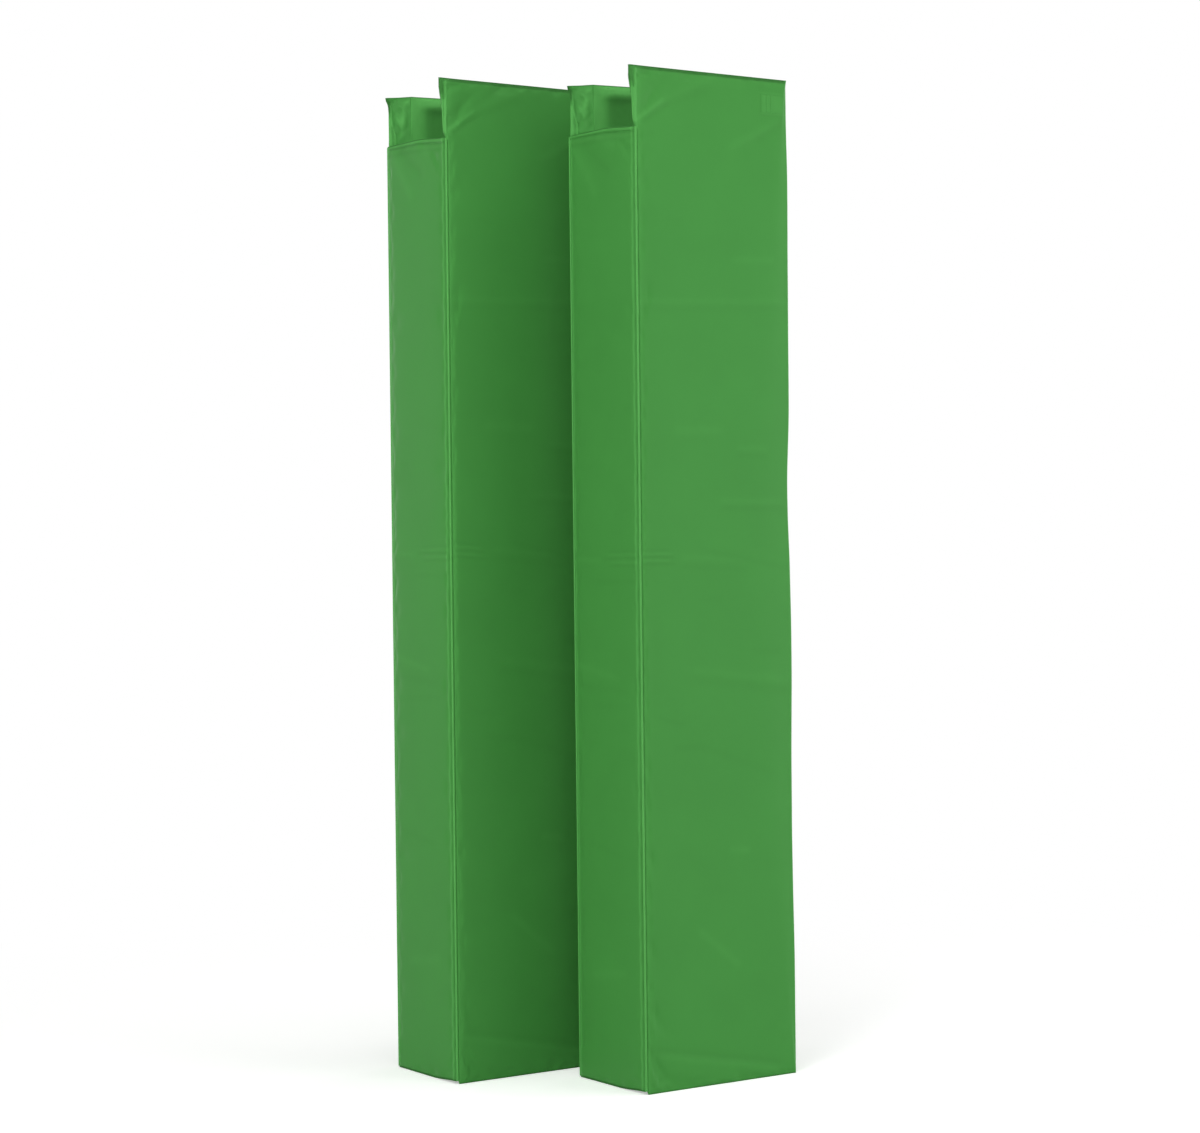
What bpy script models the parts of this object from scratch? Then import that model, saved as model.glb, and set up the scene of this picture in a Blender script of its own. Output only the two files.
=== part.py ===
"""A pair of padded sleeves for volleyball posts.

Each pad is a U of three foam panels in sewn vinyl covers: a narrow front panel and two
deeper side panels, folding on piped corner seams. Straps with hook tape close the back.
X runs from the front of the pads to their open back, Y from the near side to the far
side, Z up. The origin is under the middle of the pair.
"""

import math

import bmesh
import bpy

# Driving dimensions, in metres
HEIGHT = 1.8288
FRONT_WIDTH = 0.216
SIDE_DEPTH = 0.340
FOAM_THICKNESS = 0.0318
VINYL = 0.0009
FIT_GAP = 0.0003
NOTCH_HEIGHT = 0.100
FRONT_LIFT = 0.005

# Corner folds: the axis of the piped seam, its bead and the strip that is sewn in
SEAM_INSET = 0.0025
BEAD_RADIUS = 0.0022
FLANGE_THICKNESS = 0.0010
FLANGE_DEPTH = 0.014
BEAD_STEPS = 10

# Covers: edge radii, crown of the outer faces, pinched top corners
MITRE_EDGE_RADIUS = 0.0030
INNER_EDGE_RADIUS = 0.0030
BACK_EDGE_RADIUS = 0.0040
SIDE_CROWN = 0.0030
FRONT_CROWN = 0.0015
EAR_LENGTH = 0.013
EAR_HEIGHT = 0.045
EAR_REACH = 0.012
BACK_EAR_LENGTH = 0.003
BACK_EAR_HEIGHT = 0.016
BACK_EAR_REACH = 0.009
TOP_ROLL = 0.0016
TOP_ROLL_HEIGHT = 0.018
CAP_THICKNESS = 0.0011
CAP_LIP = 0.0008
ARC_STEPS = 4
FACE_STEPS = 6
BODY_ROWS = 7
EAR_ROWS = 7

# Straps across the open back
STRAP_COUNT = 4
STRAP_WIDTH = 0.050
WEBBING = 0.0015
TAPE = 0.0012
PILE_GAP = 0.0008
TOP_STRAP_BELOW_TOP = 0.0475
BOTTOM_STRAP_HEIGHT = 0.250
STRAP_ROOT_INSET = 0.0065
STRAP_TAIL = 0.0007
STRAP_END_INSET = 0.0025
STRAP_RISE = 0.045
RISE_STEPS = 6
HOOK_LENGTH = 0.056
HOOK_WIDTH = 0.044
LOOP_INSET = 0.0040
LOOP_LENGTH = 0.018
LOOP_WIDTH = 0.048
TAPE_BEVEL = 0.0003

# The pair: how far the left pad stands forward, and the gap between the two
LEFT_PAD_FORWARD = 0.218
PAD_GAP = 0.072

# Derived
PANEL_THICKNESS = FOAM_THICKNESS + 2 * (VINYL + FIT_GAP)
MITRE_GAP = FLANGE_THICKNESS + 2 * FIT_GAP
MITRE_SHIFT = MITRE_GAP / math.sqrt(2)
END_MARGIN = CAP_THICKNESS + FIT_GAP
CAP_BEVEL = CAP_THICKNESS / 3
HOOK_FACE = FIT_GAP + TAPE + PILE_GAP
STRAP_SEAT = HOOK_FACE + TAPE + FIT_GAP
LEFT_PAD_SIDEWAYS = FRONT_WIDTH + PAD_GAP

VINYL_GREEN = (0.069, 0.287, 0.061)
SEAM_GREEN = (0.080, 0.330, 0.070)
FOAM_CREAM = (0.62, 0.56, 0.42)
STRAP_BLACK = (0.012, 0.012, 0.013)


def make_material(name, colour, roughness):
    material = bpy.data.materials.new(name)
    material.use_nodes = True
    shader = material.node_tree.nodes["Principled BSDF"]
    shader.inputs["Base Color"].default_value = (*colour, 1)
    shader.inputs["Roughness"].default_value = roughness
    shader.inputs["Metallic"].default_value = 0
    return material


def make_object(name, bm, material, parent, smooth=True):
    """An object from the mesh bm, whose points are relative to the parent empty."""
    bmesh.ops.recalc_face_normals(bm, faces=bm.faces)
    mesh = bpy.data.meshes.new(name)
    bm.to_mesh(mesh)
    bm.free()
    mesh.materials.append(material)
    if smooth:
        mesh.shade_smooth()
        mesh.set_sharp_from_angle(angle=math.radians(35))
    obj = bpy.data.objects.new(name, mesh)
    bpy.context.scene.collection.objects.link(obj)
    obj.parent = parent
    return obj


def make_empty(name, place, parent=None):
    """An empty at this place, which is given in its parent's frame."""
    empty = bpy.data.objects.new(name, None)
    empty.empty_display_size = 0.05
    bpy.context.scene.collection.objects.link(empty)
    empty.parent = parent
    empty.location = place
    return empty


def loft(rings, closed=False):
    """A mesh through rings of equally many points. Closed joins the last ring to the
    first, and otherwise a flat face ends it at each side."""
    bm = bmesh.new()
    loops = [[bm.verts.new(point) for point in ring] for ring in rings]
    pairs = list(zip(loops, loops[1:]))
    if closed:
        pairs.append((loops[-1], loops[0]))
    for low, high in pairs:
        for i in range(len(low)):
            j = (i + 1) % len(low)
            bm.faces.new((low[i], low[j], high[j], high[i]))
    if not closed:
        bm.faces.new(loops[0])
        bm.faces.new(loops[-1])
    return bm


def box(low, high):
    """A box between two corners."""
    ring = [(low[0], low[1]), (high[0], low[1]), (high[0], high[1]), (low[0], high[1])]
    return loft([[(x, y, z) for x, y in ring] for z in (low[2], high[2])])


class Panel:
    """One padded panel's cross-section and height range.

    Across the section, u runs along the outer face and v from the outer face inwards.
    Both are measured from the pad's outer corner, where the panel's mitre begins.
    """

    def __init__(self, corners, radii, crown, roll, low, high, ears, to_pad):
        self.corners = corners
        self.radii = radii
        self.crown = crown
        self.roll = roll
        self.low = low
        self.high = high
        self.ears = ears
        self.to_pad = to_pad
        self.face = (corners[0][0], corners[1][0])

    def inset_corners(self, inset):
        """The corners with each edge moved inwards."""
        moved = []
        count = len(self.corners)
        for i, (u, v) in enumerate(self.corners):
            before = self.corners[i - 1]
            after = self.corners[(i + 1) % count]
            a = math.atan2(v - before[1], u - before[0])
            b = math.atan2(after[1] - v, after[0] - u)
            middle = (a + b) / 2 if abs(a - b) < math.pi else (a + b) / 2 + math.pi
            reach = inset / math.cos(middle - a)
            moved.append((u - reach * math.sin(middle), v + reach * math.cos(middle)))
        return moved

    def outline(self, inset):
        """Points round the section, with rounded corners and a divided outer face."""
        corners = self.inset_corners(inset)
        points = []
        count = len(corners)
        for i, (u, v) in enumerate(corners):
            before = corners[i - 1]
            after = corners[(i + 1) % count]
            start = math.atan2(v - before[1], u - before[0])
            turn = math.atan2(after[1] - v, after[0] - u) - start
            turn = (turn + math.pi) % (2 * math.pi) - math.pi
            radius = max(self.radii[i] - inset, FIT_GAP)
            setback = radius * math.tan(turn / 2)
            centre_u = u - setback * math.cos(start) - radius * math.sin(start)
            centre_v = v - setback * math.sin(start) + radius * math.cos(start)
            for k in range(ARC_STEPS + 1):
                angle = start + turn * k / ARC_STEPS
                points.append(
                    (centre_u + radius * math.sin(angle), centre_v - radius * math.cos(angle))
                )
            if i == 0:
                face_start = points[-1]
                face_slot = len(points)
            if i == 1:
                face_end = points[face_slot]
        face = [
            (face_start[0] + (face_end[0] - face_start[0]) * k / FACE_STEPS, face_start[1])
            for k in range(1, FACE_STEPS)
        ]
        return points[:face_slot] + face + points[face_slot:]

    def swelling(self, point, height):
        """How far the cover stands out at this point: the crown, the roll under the top
        edge and the pinched corners."""
        u, v = point
        across = (u - self.face[0]) / (self.face[1] - self.face[0])
        up = (height - self.low) / (self.high - self.low)
        out_u = 0.0
        out_v = 0.0
        if v < FIT_GAP and 0 < across < 1:
            out_v = -self.crown * (1 - (2 * across - 1) ** 2) * (1 - (2 * up - 1) ** 6)
            rolled = min((self.high - height) / TOP_ROLL_HEIGHT, 1)
            out_v -= self.roll * math.sin(math.pi * rolled)
        for corner, direction, length, tall, reach in self.ears:
            below = self.high - height
            near = 1 - math.hypot(u - corner[0], v - corner[1]) / reach
            if below < tall and near > 0:
                out_u += direction * length * near * (1 - below / tall) ** 2
        return out_u, out_v

    def ring(self, inset, height, swollen=True):
        """The outline at this height, in the pad's frame."""
        shape = self.outline(0)
        ring = []
        for point, bare in zip(shape, self.outline(inset)):
            out_u, out_v = self.swelling(point, height) if swollen else (0, 0)
            ring.append((*self.to_pad(bare[0] + out_u, bare[1] + out_v), height))
        return ring

    def rows(self):
        """Heights of the cover's rings, closer together at the pinched corners."""
        low = self.low + END_MARGIN
        high = self.high - END_MARGIN
        knee = high - EAR_HEIGHT
        body = [low + (knee - low) * k / BODY_ROWS for k in range(BODY_ROWS)]
        ears = [knee + (high - knee) * k / EAR_ROWS for k in range(EAR_ROWS + 1)]
        return body + ears


def moved(rings, pivot):
    """The rings relative to the pivot."""
    return [[(x - pivot[0], y - pivot[1], z) for x, y, z in ring] for ring in rings]


def make_panel(name, panel, pivot, parent):
    """The four pieces of one panel: foam core, cover and the two end caps."""
    low = panel.low + END_MARGIN
    high = panel.high - END_MARGIN
    core = [panel.ring(VINYL + FIT_GAP, z, swollen=False) for z in (low, high)]
    make_object(name + "_foam", loft(moved(core, pivot)), FOAM, parent)
    outside = [panel.ring(0, z) for z in panel.rows()]
    inside = [panel.ring(VINYL, z) for z in reversed(panel.rows())]
    cover = loft(moved(outside + inside, pivot), closed=True)
    make_object(name + "_cover", cover, COVER, parent)
    for end, base, way in (("top", panel.high, -1), ("bottom", panel.low, 1)):
        inner = base + way * CAP_THICKNESS
        cap = [
            panel.ring(CAP_BEVEL - CAP_LIP, base),
            panel.ring(-CAP_LIP, base + way * CAP_BEVEL),
            panel.ring(-CAP_LIP, inner),
        ]
        make_object(f"{name}_{end}_cap", loft(moved(cap, pivot)), COVER, parent)


def make_welt(name, to_pad, pivot, parent):
    """The piped corner seam: a bead on the fold axis, and the strip between the mitres."""
    half = FLANGE_THICKNESS / 2
    dip = math.asin(half / BEAD_RADIUS)
    profile = []
    for k in range(BEAD_STEPS + 1):
        angle = dip + (2 * math.pi - 2 * dip) * k / BEAD_STEPS
        profile.append((BEAD_RADIUS * math.cos(angle), BEAD_RADIUS * math.sin(angle)))
    profile += [(FLANGE_DEPTH, -half), (FLANGE_DEPTH, half)]
    slant = math.radians(45)
    section = []
    for along, across in profile:
        u = SEAM_INSET + along * math.cos(slant) - across * math.sin(slant)
        v = SEAM_INSET + along * math.sin(slant) + across * math.cos(slant)
        section.append(to_pad(u, v))
    heights = (FRONT_LIFT + END_MARGIN, HEIGHT - NOTCH_HEIGHT - END_MARGIN)
    rings = [[(*point, z) for point in section] for z in heights]
    make_object(name, loft(moved(rings, pivot)), SEAM, parent)


def strap_section():
    """The webbing seen from above: flat at its sewn root, then rising to the hook tape."""
    root = STRAP_ROOT_INSET - STRAP_TAIL
    flat_end = PANEL_THICKNESS - BACK_EDGE_RADIUS
    inner = [(FIT_GAP, root)]
    for k in range(RISE_STEPS + 1):
        share = k / RISE_STEPS
        rise = (1 - math.cos(math.pi * share)) / 2
        inner.append((FIT_GAP + (STRAP_SEAT - FIT_GAP) * rise, flat_end + STRAP_RISE * share))
    inner.append((STRAP_SEAT, FRONT_WIDTH - STRAP_END_INSET))
    outer = [(x + WEBBING, y) for x, y in reversed(inner)]
    return [(SIDE_DEPTH + x, y) for x, y in inner + outer]


def make_strap(name, height, strap_parent, patch_parent, patch_pivot):
    """One strap: webbing and hook tape that swing on the sewn root, and the loop patch."""
    pivot = (SIDE_DEPTH + FIT_GAP + WEBBING / 2, STRAP_ROOT_INSET)
    place = (pivot[0] - strap_parent["pivot"][0], pivot[1] - strap_parent["pivot"][1], height)
    hinge = make_empty(name + "_root", place, strap_parent["empty"])
    section = strap_section()
    rings = [[(x, y, z) for x, y in section] for z in (-STRAP_WIDTH / 2, STRAP_WIDTH / 2)]
    make_object(name + "_webbing", loft(moved(rings, pivot)), STRAP, hinge)
    hook_high = FRONT_WIDTH - STRAP_END_INSET - TAPE
    hook = box(
        (SIDE_DEPTH + HOOK_FACE - pivot[0], hook_high - HOOK_LENGTH - pivot[1], -HOOK_WIDTH / 2),
        (SIDE_DEPTH + HOOK_FACE + TAPE - pivot[0], hook_high - pivot[1], HOOK_WIDTH / 2),
    )
    soften(make_object(name + "_hook_tape", hook, HOOK, hinge, smooth=False))
    loop_high = FRONT_WIDTH - LOOP_INSET
    low = (SIDE_DEPTH + FIT_GAP, loop_high - LOOP_LENGTH, height - LOOP_WIDTH / 2)
    high = (SIDE_DEPTH + FIT_GAP + TAPE, loop_high, height + LOOP_WIDTH / 2)
    patch = box(
        (low[0] - patch_pivot[0], low[1] - patch_pivot[1], low[2]),
        (high[0] - patch_pivot[0], high[1] - patch_pivot[1], high[2]),
    )
    soften(make_object(name + "_loop_patch", patch, LOOP, patch_parent, smooth=False))


def soften(obj):
    """A fine bevel on a tape's edges."""
    bevel = obj.modifiers.new("edge", "BEVEL")
    bevel.width = TAPE_BEVEL
    bevel.segments = 1


def near_to_pad(u, v):
    return u, v


def far_to_pad(u, v):
    return u, FRONT_WIDTH - v


def front_to_pad(u, v):
    return v, u


def side_panel(to_pad):
    """A side panel: mitred at the front corner, square at the back."""
    inner = PANEL_THICKNESS
    corners = [
        (MITRE_SHIFT, 0),
        (SIDE_DEPTH, 0),
        (SIDE_DEPTH, inner),
        (inner + MITRE_SHIFT, inner),
    ]
    radii = [MITRE_EDGE_RADIUS, BACK_EDGE_RADIUS, BACK_EDGE_RADIUS, INNER_EDGE_RADIUS]
    tip = (MITRE_SHIFT + MITRE_EDGE_RADIUS, MITRE_EDGE_RADIUS)
    ears = [
        (tip, -1, EAR_LENGTH, EAR_HEIGHT, EAR_REACH),
        (corners[1], 1, BACK_EAR_LENGTH, BACK_EAR_HEIGHT, BACK_EAR_REACH),
    ]
    return Panel(corners, radii, SIDE_CROWN, 0.0, 0.0, HEIGHT, ears, to_pad)


def front_panel():
    """The front panel: mitred at both corners, and shorter at the top."""
    inner = PANEL_THICKNESS
    corners = [
        (MITRE_SHIFT, 0),
        (FRONT_WIDTH - MITRE_SHIFT, 0),
        (FRONT_WIDTH - inner - MITRE_SHIFT, inner),
        (inner + MITRE_SHIFT, inner),
    ]
    radii = [MITRE_EDGE_RADIUS, MITRE_EDGE_RADIUS, INNER_EDGE_RADIUS, INNER_EDGE_RADIUS]
    high = HEIGHT - NOTCH_HEIGHT
    return Panel(corners, radii, FRONT_CROWN, TOP_ROLL, FRONT_LIFT, high, [], front_to_pad)


def pair_centre():
    """The middle of the pair's outline, measured from the right pad's near front corner."""
    ears = side_panel(near_to_pad).ring(-CAP_LIP, HEIGHT - CAP_BEVEL)
    low_x = min(x for x, _, _ in ears) - LEFT_PAD_FORWARD
    high_x = SIDE_DEPTH + STRAP_SEAT + WEBBING
    return (low_x + high_x) / 2, (LEFT_PAD_SIDEWAYS + FRONT_WIDTH) / 2


def make_pad(name, x, y, fixed_side):
    """One pad. Its fixed side stands still, the front folds on it, and the other side
    folds on the front."""
    centre = pair_centre()
    near_axis = (SEAM_INSET, SEAM_INSET)
    far_axis = (SEAM_INSET, FRONT_WIDTH - SEAM_INSET)
    first, second = (near_axis, far_axis) if fixed_side == "near" else (far_axis, near_axis)
    step = (second[0] - first[0], second[1] - first[1], 0)
    base = make_empty(name, (x - centre[0] + first[0], y - centre[1] + first[1], 0))
    front = make_empty(name + "_front_fold", (0, 0, 0), base)
    free = make_empty(name + "_side_fold", step, front)
    side_parent = {
        "near": {"empty": base if fixed_side == "near" else free, "pivot": near_axis},
        "far": {"empty": free if fixed_side == "near" else base, "pivot": far_axis},
    }
    make_panel(name + "_front", front_panel(), first, front)
    for side, to_pad in (("near", near_to_pad), ("far", far_to_pad)):
        home = side_parent[side]
        make_panel(f"{name}_{side}_side", side_panel(to_pad), home["pivot"], home["empty"])
        make_welt(f"{name}_{side}_corner_welt", to_pad, first, front)
    far_home = side_parent["far"]
    top = HEIGHT - TOP_STRAP_BELOW_TOP
    pitch = (top - BOTTOM_STRAP_HEIGHT) / (STRAP_COUNT - 1)
    for k in range(STRAP_COUNT):
        strap = f"{name}_strap_{k + 1}"
        make_strap(strap, top - pitch * k, side_parent["near"], far_home["empty"], far_home["pivot"])


for old in list(bpy.data.objects):
    bpy.data.objects.remove(old, do_unlink=True)

COVER = make_material("green_vinyl", VINYL_GREEN, 0.42)
SEAM = make_material("green_piping", SEAM_GREEN, 0.38)
FOAM = make_material("cream_foam", FOAM_CREAM, 0.9)
STRAP = make_material("black_webbing", STRAP_BLACK, 0.75)
HOOK = make_material("black_hook_tape", STRAP_BLACK, 0.6)
LOOP = make_material("black_loop_tape", STRAP_BLACK, 0.9)

make_pad("right_pad", 0.0, 0.0, fixed_side="far")
make_pad("left_pad", -LEFT_PAD_FORWARD, LEFT_PAD_SIDEWAYS, fixed_side="near")
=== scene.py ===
import math
from functools import partial

import bmesh
import bpy
import numpy as np
from mathutils import Matrix, Vector


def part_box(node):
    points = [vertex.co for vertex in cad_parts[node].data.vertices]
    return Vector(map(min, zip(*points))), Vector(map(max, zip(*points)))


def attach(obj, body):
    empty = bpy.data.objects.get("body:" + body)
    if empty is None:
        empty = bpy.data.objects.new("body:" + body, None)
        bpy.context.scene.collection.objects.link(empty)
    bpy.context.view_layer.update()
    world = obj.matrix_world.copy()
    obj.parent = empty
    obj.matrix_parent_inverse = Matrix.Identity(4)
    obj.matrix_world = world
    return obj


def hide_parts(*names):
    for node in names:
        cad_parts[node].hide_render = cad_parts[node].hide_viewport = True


# A pair of volleyball post pads: foam panels in sewn green vinyl covers, three to a pad,
# folding on piped corner seams and closed round the post by straps at the back.
# Metres throughout. X runs from the front of the pads to their open back, Y from the
# near side to the far side, Z up.
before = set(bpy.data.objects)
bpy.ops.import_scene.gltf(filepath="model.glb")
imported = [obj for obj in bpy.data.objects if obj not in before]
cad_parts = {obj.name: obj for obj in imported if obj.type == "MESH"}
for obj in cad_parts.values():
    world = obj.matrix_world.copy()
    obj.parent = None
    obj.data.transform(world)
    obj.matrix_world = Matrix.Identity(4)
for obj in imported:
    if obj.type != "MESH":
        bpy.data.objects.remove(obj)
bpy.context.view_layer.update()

# The camera stands to the left of the near corners, a little above the middle of the
# pads, and looks almost level. Its lens is long, so the upright edges stay nearly parallel.
EYE = (-2.8707, -4.2666, 0.9993)
HEADING = (0.5615, 0.8275)
PITCH = math.radians(-0.68)
ROLL = math.radians(-0.665)
LENS = 82.9
SENSOR_WIDTH = 36
FARTHEST_SEEN = 60

ahead = Vector(
    (HEADING[0] * math.cos(PITCH), HEADING[1] * math.cos(PITCH), math.sin(PITCH))
).normalized()
level_right = Vector((HEADING[1], -HEADING[0], 0)).normalized()
level_up = level_right.cross(ahead)
lens_right = level_right * math.cos(ROLL) + level_up * math.sin(ROLL)
lens_up = level_up * math.cos(ROLL) - level_right * math.sin(ROLL)
camera = bpy.data.objects.new("camera", bpy.data.cameras.new("camera"))
camera.data.lens = LENS
camera.data.sensor_width = SENSOR_WIDTH
camera.data.clip_end = FARTHEST_SEEN
camera.matrix_world = Matrix(
    [[lens_right[k], lens_up[k], -ahead[k], EYE[k]] for k in range(3)] + [[0, 0, 0, 1]]
)
bpy.context.scene.collection.objects.link(camera)
bpy.context.scene.camera = camera
bpy.context.scene.view_settings.view_transform = "Standard"

# The studio: a matt white floor, a white surround, and soft round lamps on the left, on the
# right, behind and overhead. The surround is white where it is seen or reflected, and dim
# where it lights the pads. Near them the floor is lifted just so far that only shadow shows.
WHITE = (1, 1, 1, 1)
FLOOR_SIZE = 24.0
FLOOR_TONE = (0.90, 0.90, 0.89)
FLOOR_LIFT = 0.40
# How far out the floor starts to turn plain white, and where it is
FLOOR_FADE = (0.55, 2.2)
SURROUND_LIGHT = 0.12
# Each lamp's name, place, width in metres and power in watts
LAMPS = [
    ("left_lamp", (-5.0, 0.0, 1.0), 3.0, 58.0),
    ("high_left_lamp", (-3.6, -2.4, 2.9), 2.0, 82.0),
    ("right_lamp", (2.5, -4.33, 0.7), 3.0, 46.0),
    ("side_lamp", (4.6, -2.0, 1.1), 3.0, 110.0),
    ("overhead_lamp", (-0.8, -1.0, 4.6), 3.4, 56.0),
    ("high_right_lamp", (1.5, -2.0, 4.2), 2.5, 34.0),
    ("back_right_lamp", (4.7, 1.4, 1.6), 3.0, 44.0),
    ("back_left_lamp", (-0.4, 5.0, 1.6), 3.0, 42.0),
]
LAMP_AIM = Vector((0.0, 0.0, 0.95))


def placed(tree, kind, inputs=(), **modes):
    """A node in a tree, with its modes set. Each input, by name or number, is given a
    value, or linked to a socket or to another node's first output."""
    node = tree.nodes.new(kind)
    for mode, value in modes.items():
        setattr(node, mode, value)
    for label, value in dict(inputs).items():
        if isinstance(value, bpy.types.Node):
            value = value.outputs[0]
        if isinstance(value, bpy.types.NodeSocket):
            tree.links.new(value, node.inputs[label])
        else:
            node.inputs[label].default_value = value
    return node


def math_node(tree, operation, *values):
    """The result of a Math node on sockets or numbers."""
    return placed(tree, "ShaderNodeMath", enumerate(values), operation=operation).outputs[0]


def seen_ray(tree):
    """A mask that is 1 on what the camera sees directly, in a gloss or through glass."""
    rays = placed(tree, "ShaderNodeLightPath").outputs
    direct = math_node(tree, "MAXIMUM", rays["Is Camera Ray"], rays["Is Glossy Ray"])
    return math_node(tree, "MAXIMUM", direct, rays["Is Transmission Ray"])


def new_finish(name):
    """A material that works by nodes, and its tree."""
    material = bpy.data.materials.new(name)
    material.use_nodes = True
    return material, material.node_tree


def new_object(name, points, edges=(), faces=()):
    """A mesh object at the origin, from points and the edges or faces that join them."""
    mesh = bpy.data.meshes.new(name)
    mesh.from_pydata(np.asarray(points, float).reshape(-1, 3).tolist(), edges, faces)
    obj = bpy.data.objects.new(name, mesh)
    bpy.context.scene.collection.objects.link(obj)
    return obj


world = bpy.data.worlds.new("surround")
bpy.context.scene.world = world
world.use_nodes = True
sky = world.node_tree
sky.nodes.clear()
dim = placed(sky, "ShaderNodeBackground", {"Color": WHITE, "Strength": SURROUND_LIGHT})
bright = placed(sky, "ShaderNodeBackground", {"Color": WHITE, "Strength": 1.0})
surround = placed(sky, "ShaderNodeMixShader", {0: seen_ray(sky), 1: dim, 2: bright})
placed(sky, "ShaderNodeOutputWorld", {"Surface": surround})

white_floor, ground = new_finish("white_floor")
ground.nodes.clear()
seen = seen_ray(ground)
matt = placed(ground, "ShaderNodeBsdfDiffuse", {"Color": (*FLOOR_TONE, 1)})
lift = math_node(ground, "MULTIPLY", seen, FLOOR_LIFT)
glow = placed(ground, "ShaderNodeEmission", {"Strength": lift})
near_pads = placed(ground, "ShaderNodeAddShader", {0: matt, 1: glow})
far_away = placed(ground, "ShaderNodeEmission", {"Strength": 1.0})
place = placed(ground, "ShaderNodeTexCoord").outputs["Object"]
distance = placed(ground, "ShaderNodeVectorMath", {0: place}, operation="LENGTH")
fade = placed(
    ground,
    "ShaderNodeMapRange",
    {"Value": distance.outputs["Value"], "From Min": FLOOR_FADE[0], "From Max": FLOOR_FADE[1]},
    interpolation_type="SMOOTHSTEP",
)
whitened = math_node(ground, "MULTIPLY", fade.outputs[0], seen)
ground_mix = placed(ground, "ShaderNodeMixShader", {0: whitened, 1: near_pads, 2: far_away})
placed(ground, "ShaderNodeOutputMaterial", {"Surface": ground_mix})

edge = FLOOR_SIZE / 2
ground_corners = [(-edge, -edge, 0), (edge, -edge, 0), (edge, edge, 0), (-edge, edge, 0)]
floor = new_object("floor", ground_corners, faces=[(0, 1, 2, 3)])
floor.data.materials.append(white_floor)

for name, place, size, power in LAMPS:
    lamp = bpy.data.objects.new(name, bpy.data.lights.new(name, "AREA"))
    lamp.data.shape = "DISK"
    lamp.data.size = size
    lamp.data.energy = power
    lamp.location = place
    lamp.rotation_euler = (LAMP_AIM - Vector(place)).to_track_quat("-Z", "Y").to_euler()
    bpy.context.scene.collection.objects.link(lamp)

# The foam cores: a slab of firm cream foam in each panel, cut on a slant where panels meet at
# a corner and square at the open back. Each fills its cover and gives the panel its shape.
# The back edge of a long slab has drawn in a little between the straps.
PADS = ("right_pad", "left_pad")
PANELS = ("near_side", "far_side", "front")
HEIGHT = 1.8288
DEPTH = 0.340
WIDTH = 0.216
THICKNESS = 0.0342
NOTCH_DEPTH = 0.100
NOTCH_HEIGHT = HEIGHT - NOTCH_DEPTH
FRONT_LIFT = 0.005
SLANT_SHIFT = 0.00113
WALL_TO_FOAM = 0.0012
END_INSET = 0.0014
ARC_STEPS = 3
# What stands in the list of an outline's sides for a point on an arc
ON_ARC = -1
SHARP_EDGE = math.radians(50)
FOAM_CREAM = (0.62, 0.56, 0.42)
FOAM_CELL_SCALE = 420.0
FOAM_CELL_DEPTH = 0.0003
FOAM_CLOUD_SCALE = 14.0
# The foam's tone at its palest, how much its cells darken it and its clouding varies it, then
# its least roughness and what the clouding adds
FOAM_PALEST = 1.1
FOAM_CELL_DARKENING = 0.25
FOAM_CLOUDING = 0.16
FOAM_ROUGHNESS = 0.85
FOAM_UNEVENNESS = 0.1
DRY_GLOSS = 0.2
FOAM_RADII = (0.002, 0.003, 0.003, 0.002)
# A spacing is the step at an end, how fast the steps grow away from it, and the longest step
FOAM_SPACING = (0.004, 0.3, 0.03)
FOAM_ROW_SPACING = (0.0015, 0.3, 0.03)
# The rounding of a slab's ends: how far from the end it starts, and how deep it goes
FOAM_END_TURN = (0.008, 0.0050)
# How far the foam stands back from a side's slanted end where it is free, above the notch,
# between which heights beside the notch's that starts, and how far along the panel it reaches
FREE_END_INSET = 0.0052
FREE_END_START = (-0.004, 0.006)
FREE_END_REACH = 0.03
# How far the front's top hangs at its near corner, its foot away from that corner, and how
# far the far side's free top has slumped: how far down, then its reach along and up the panel
TOP_SAG = (0.0072, 0.105, 0.08)
FOOT_SAG = (0.0048, 0.085, 0.10)
FAR_SLUMP = (0.0080, 0.30, 0.10)
# How far the back edge stands out from a straight line, at heights up the pad
BACK_LINE = (
    (0.0, 0.0),
    (0.22, 0.0),
    (0.33, -0.0022),
    (0.45, -0.0034),
    (0.60, -0.0026),
    (0.72, 0.0),
    (0.82, 0.0),
    (0.95, -0.0022),
    (1.02, -0.0054),
    (1.10, -0.0060),
    (1.17, -0.0022),
    (1.22, 0.0),
    (1.34, 0.0),
    (1.50, 0.0010),
    (1.66, 0.0020),
    (1.74, 0.0),
    (1.8288, 0.0),
)
BACK_LINE_SOFTENING = 0.025
BACK_LINE_REACH = 0.12
SOFTENING_SAMPLES = 9
# How much of that line each panel's own back edge follows
BACK_LINE_SHARE = {
    ("right_pad", "near_side"): 1.0,
    ("right_pad", "far_side"): 0.7,
    ("left_pad", "near_side"): 0.8,
    ("left_pad", "far_side"): 0.9,
}


def pad_corner(pad):
    """The near front corner of the pad, from where its foam stands in the CAD."""
    low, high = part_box(f"{pad}_near_side_foam")
    return high.x + WALL_TO_FOAM - DEPTH, low.y - WALL_TO_FOAM


def in_world(pad, panel, u, v, z):
    """Points of a panel's own frame, u along it and v through it, in the row frame."""
    corner = pad_corner(pad)
    x, y = {"near_side": (u, v), "far_side": (u, WIDTH - v), "front": (v, u)}[panel]
    return np.stack(np.broadcast_arrays(x + corner[0], y + corner[1], z), axis=-1)


def body_of(pad, panel):
    """The body that a panel's pieces belong to: one side of each pad stands still."""
    if panel == "front":
        return f"{pad}_front_panel"
    if (pad, panel) in (("right_pad", "far_side"), ("left_pad", "near_side")):
        return "adjoining_side_panels"
    return f"{pad}_{panel}_panel"


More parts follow.
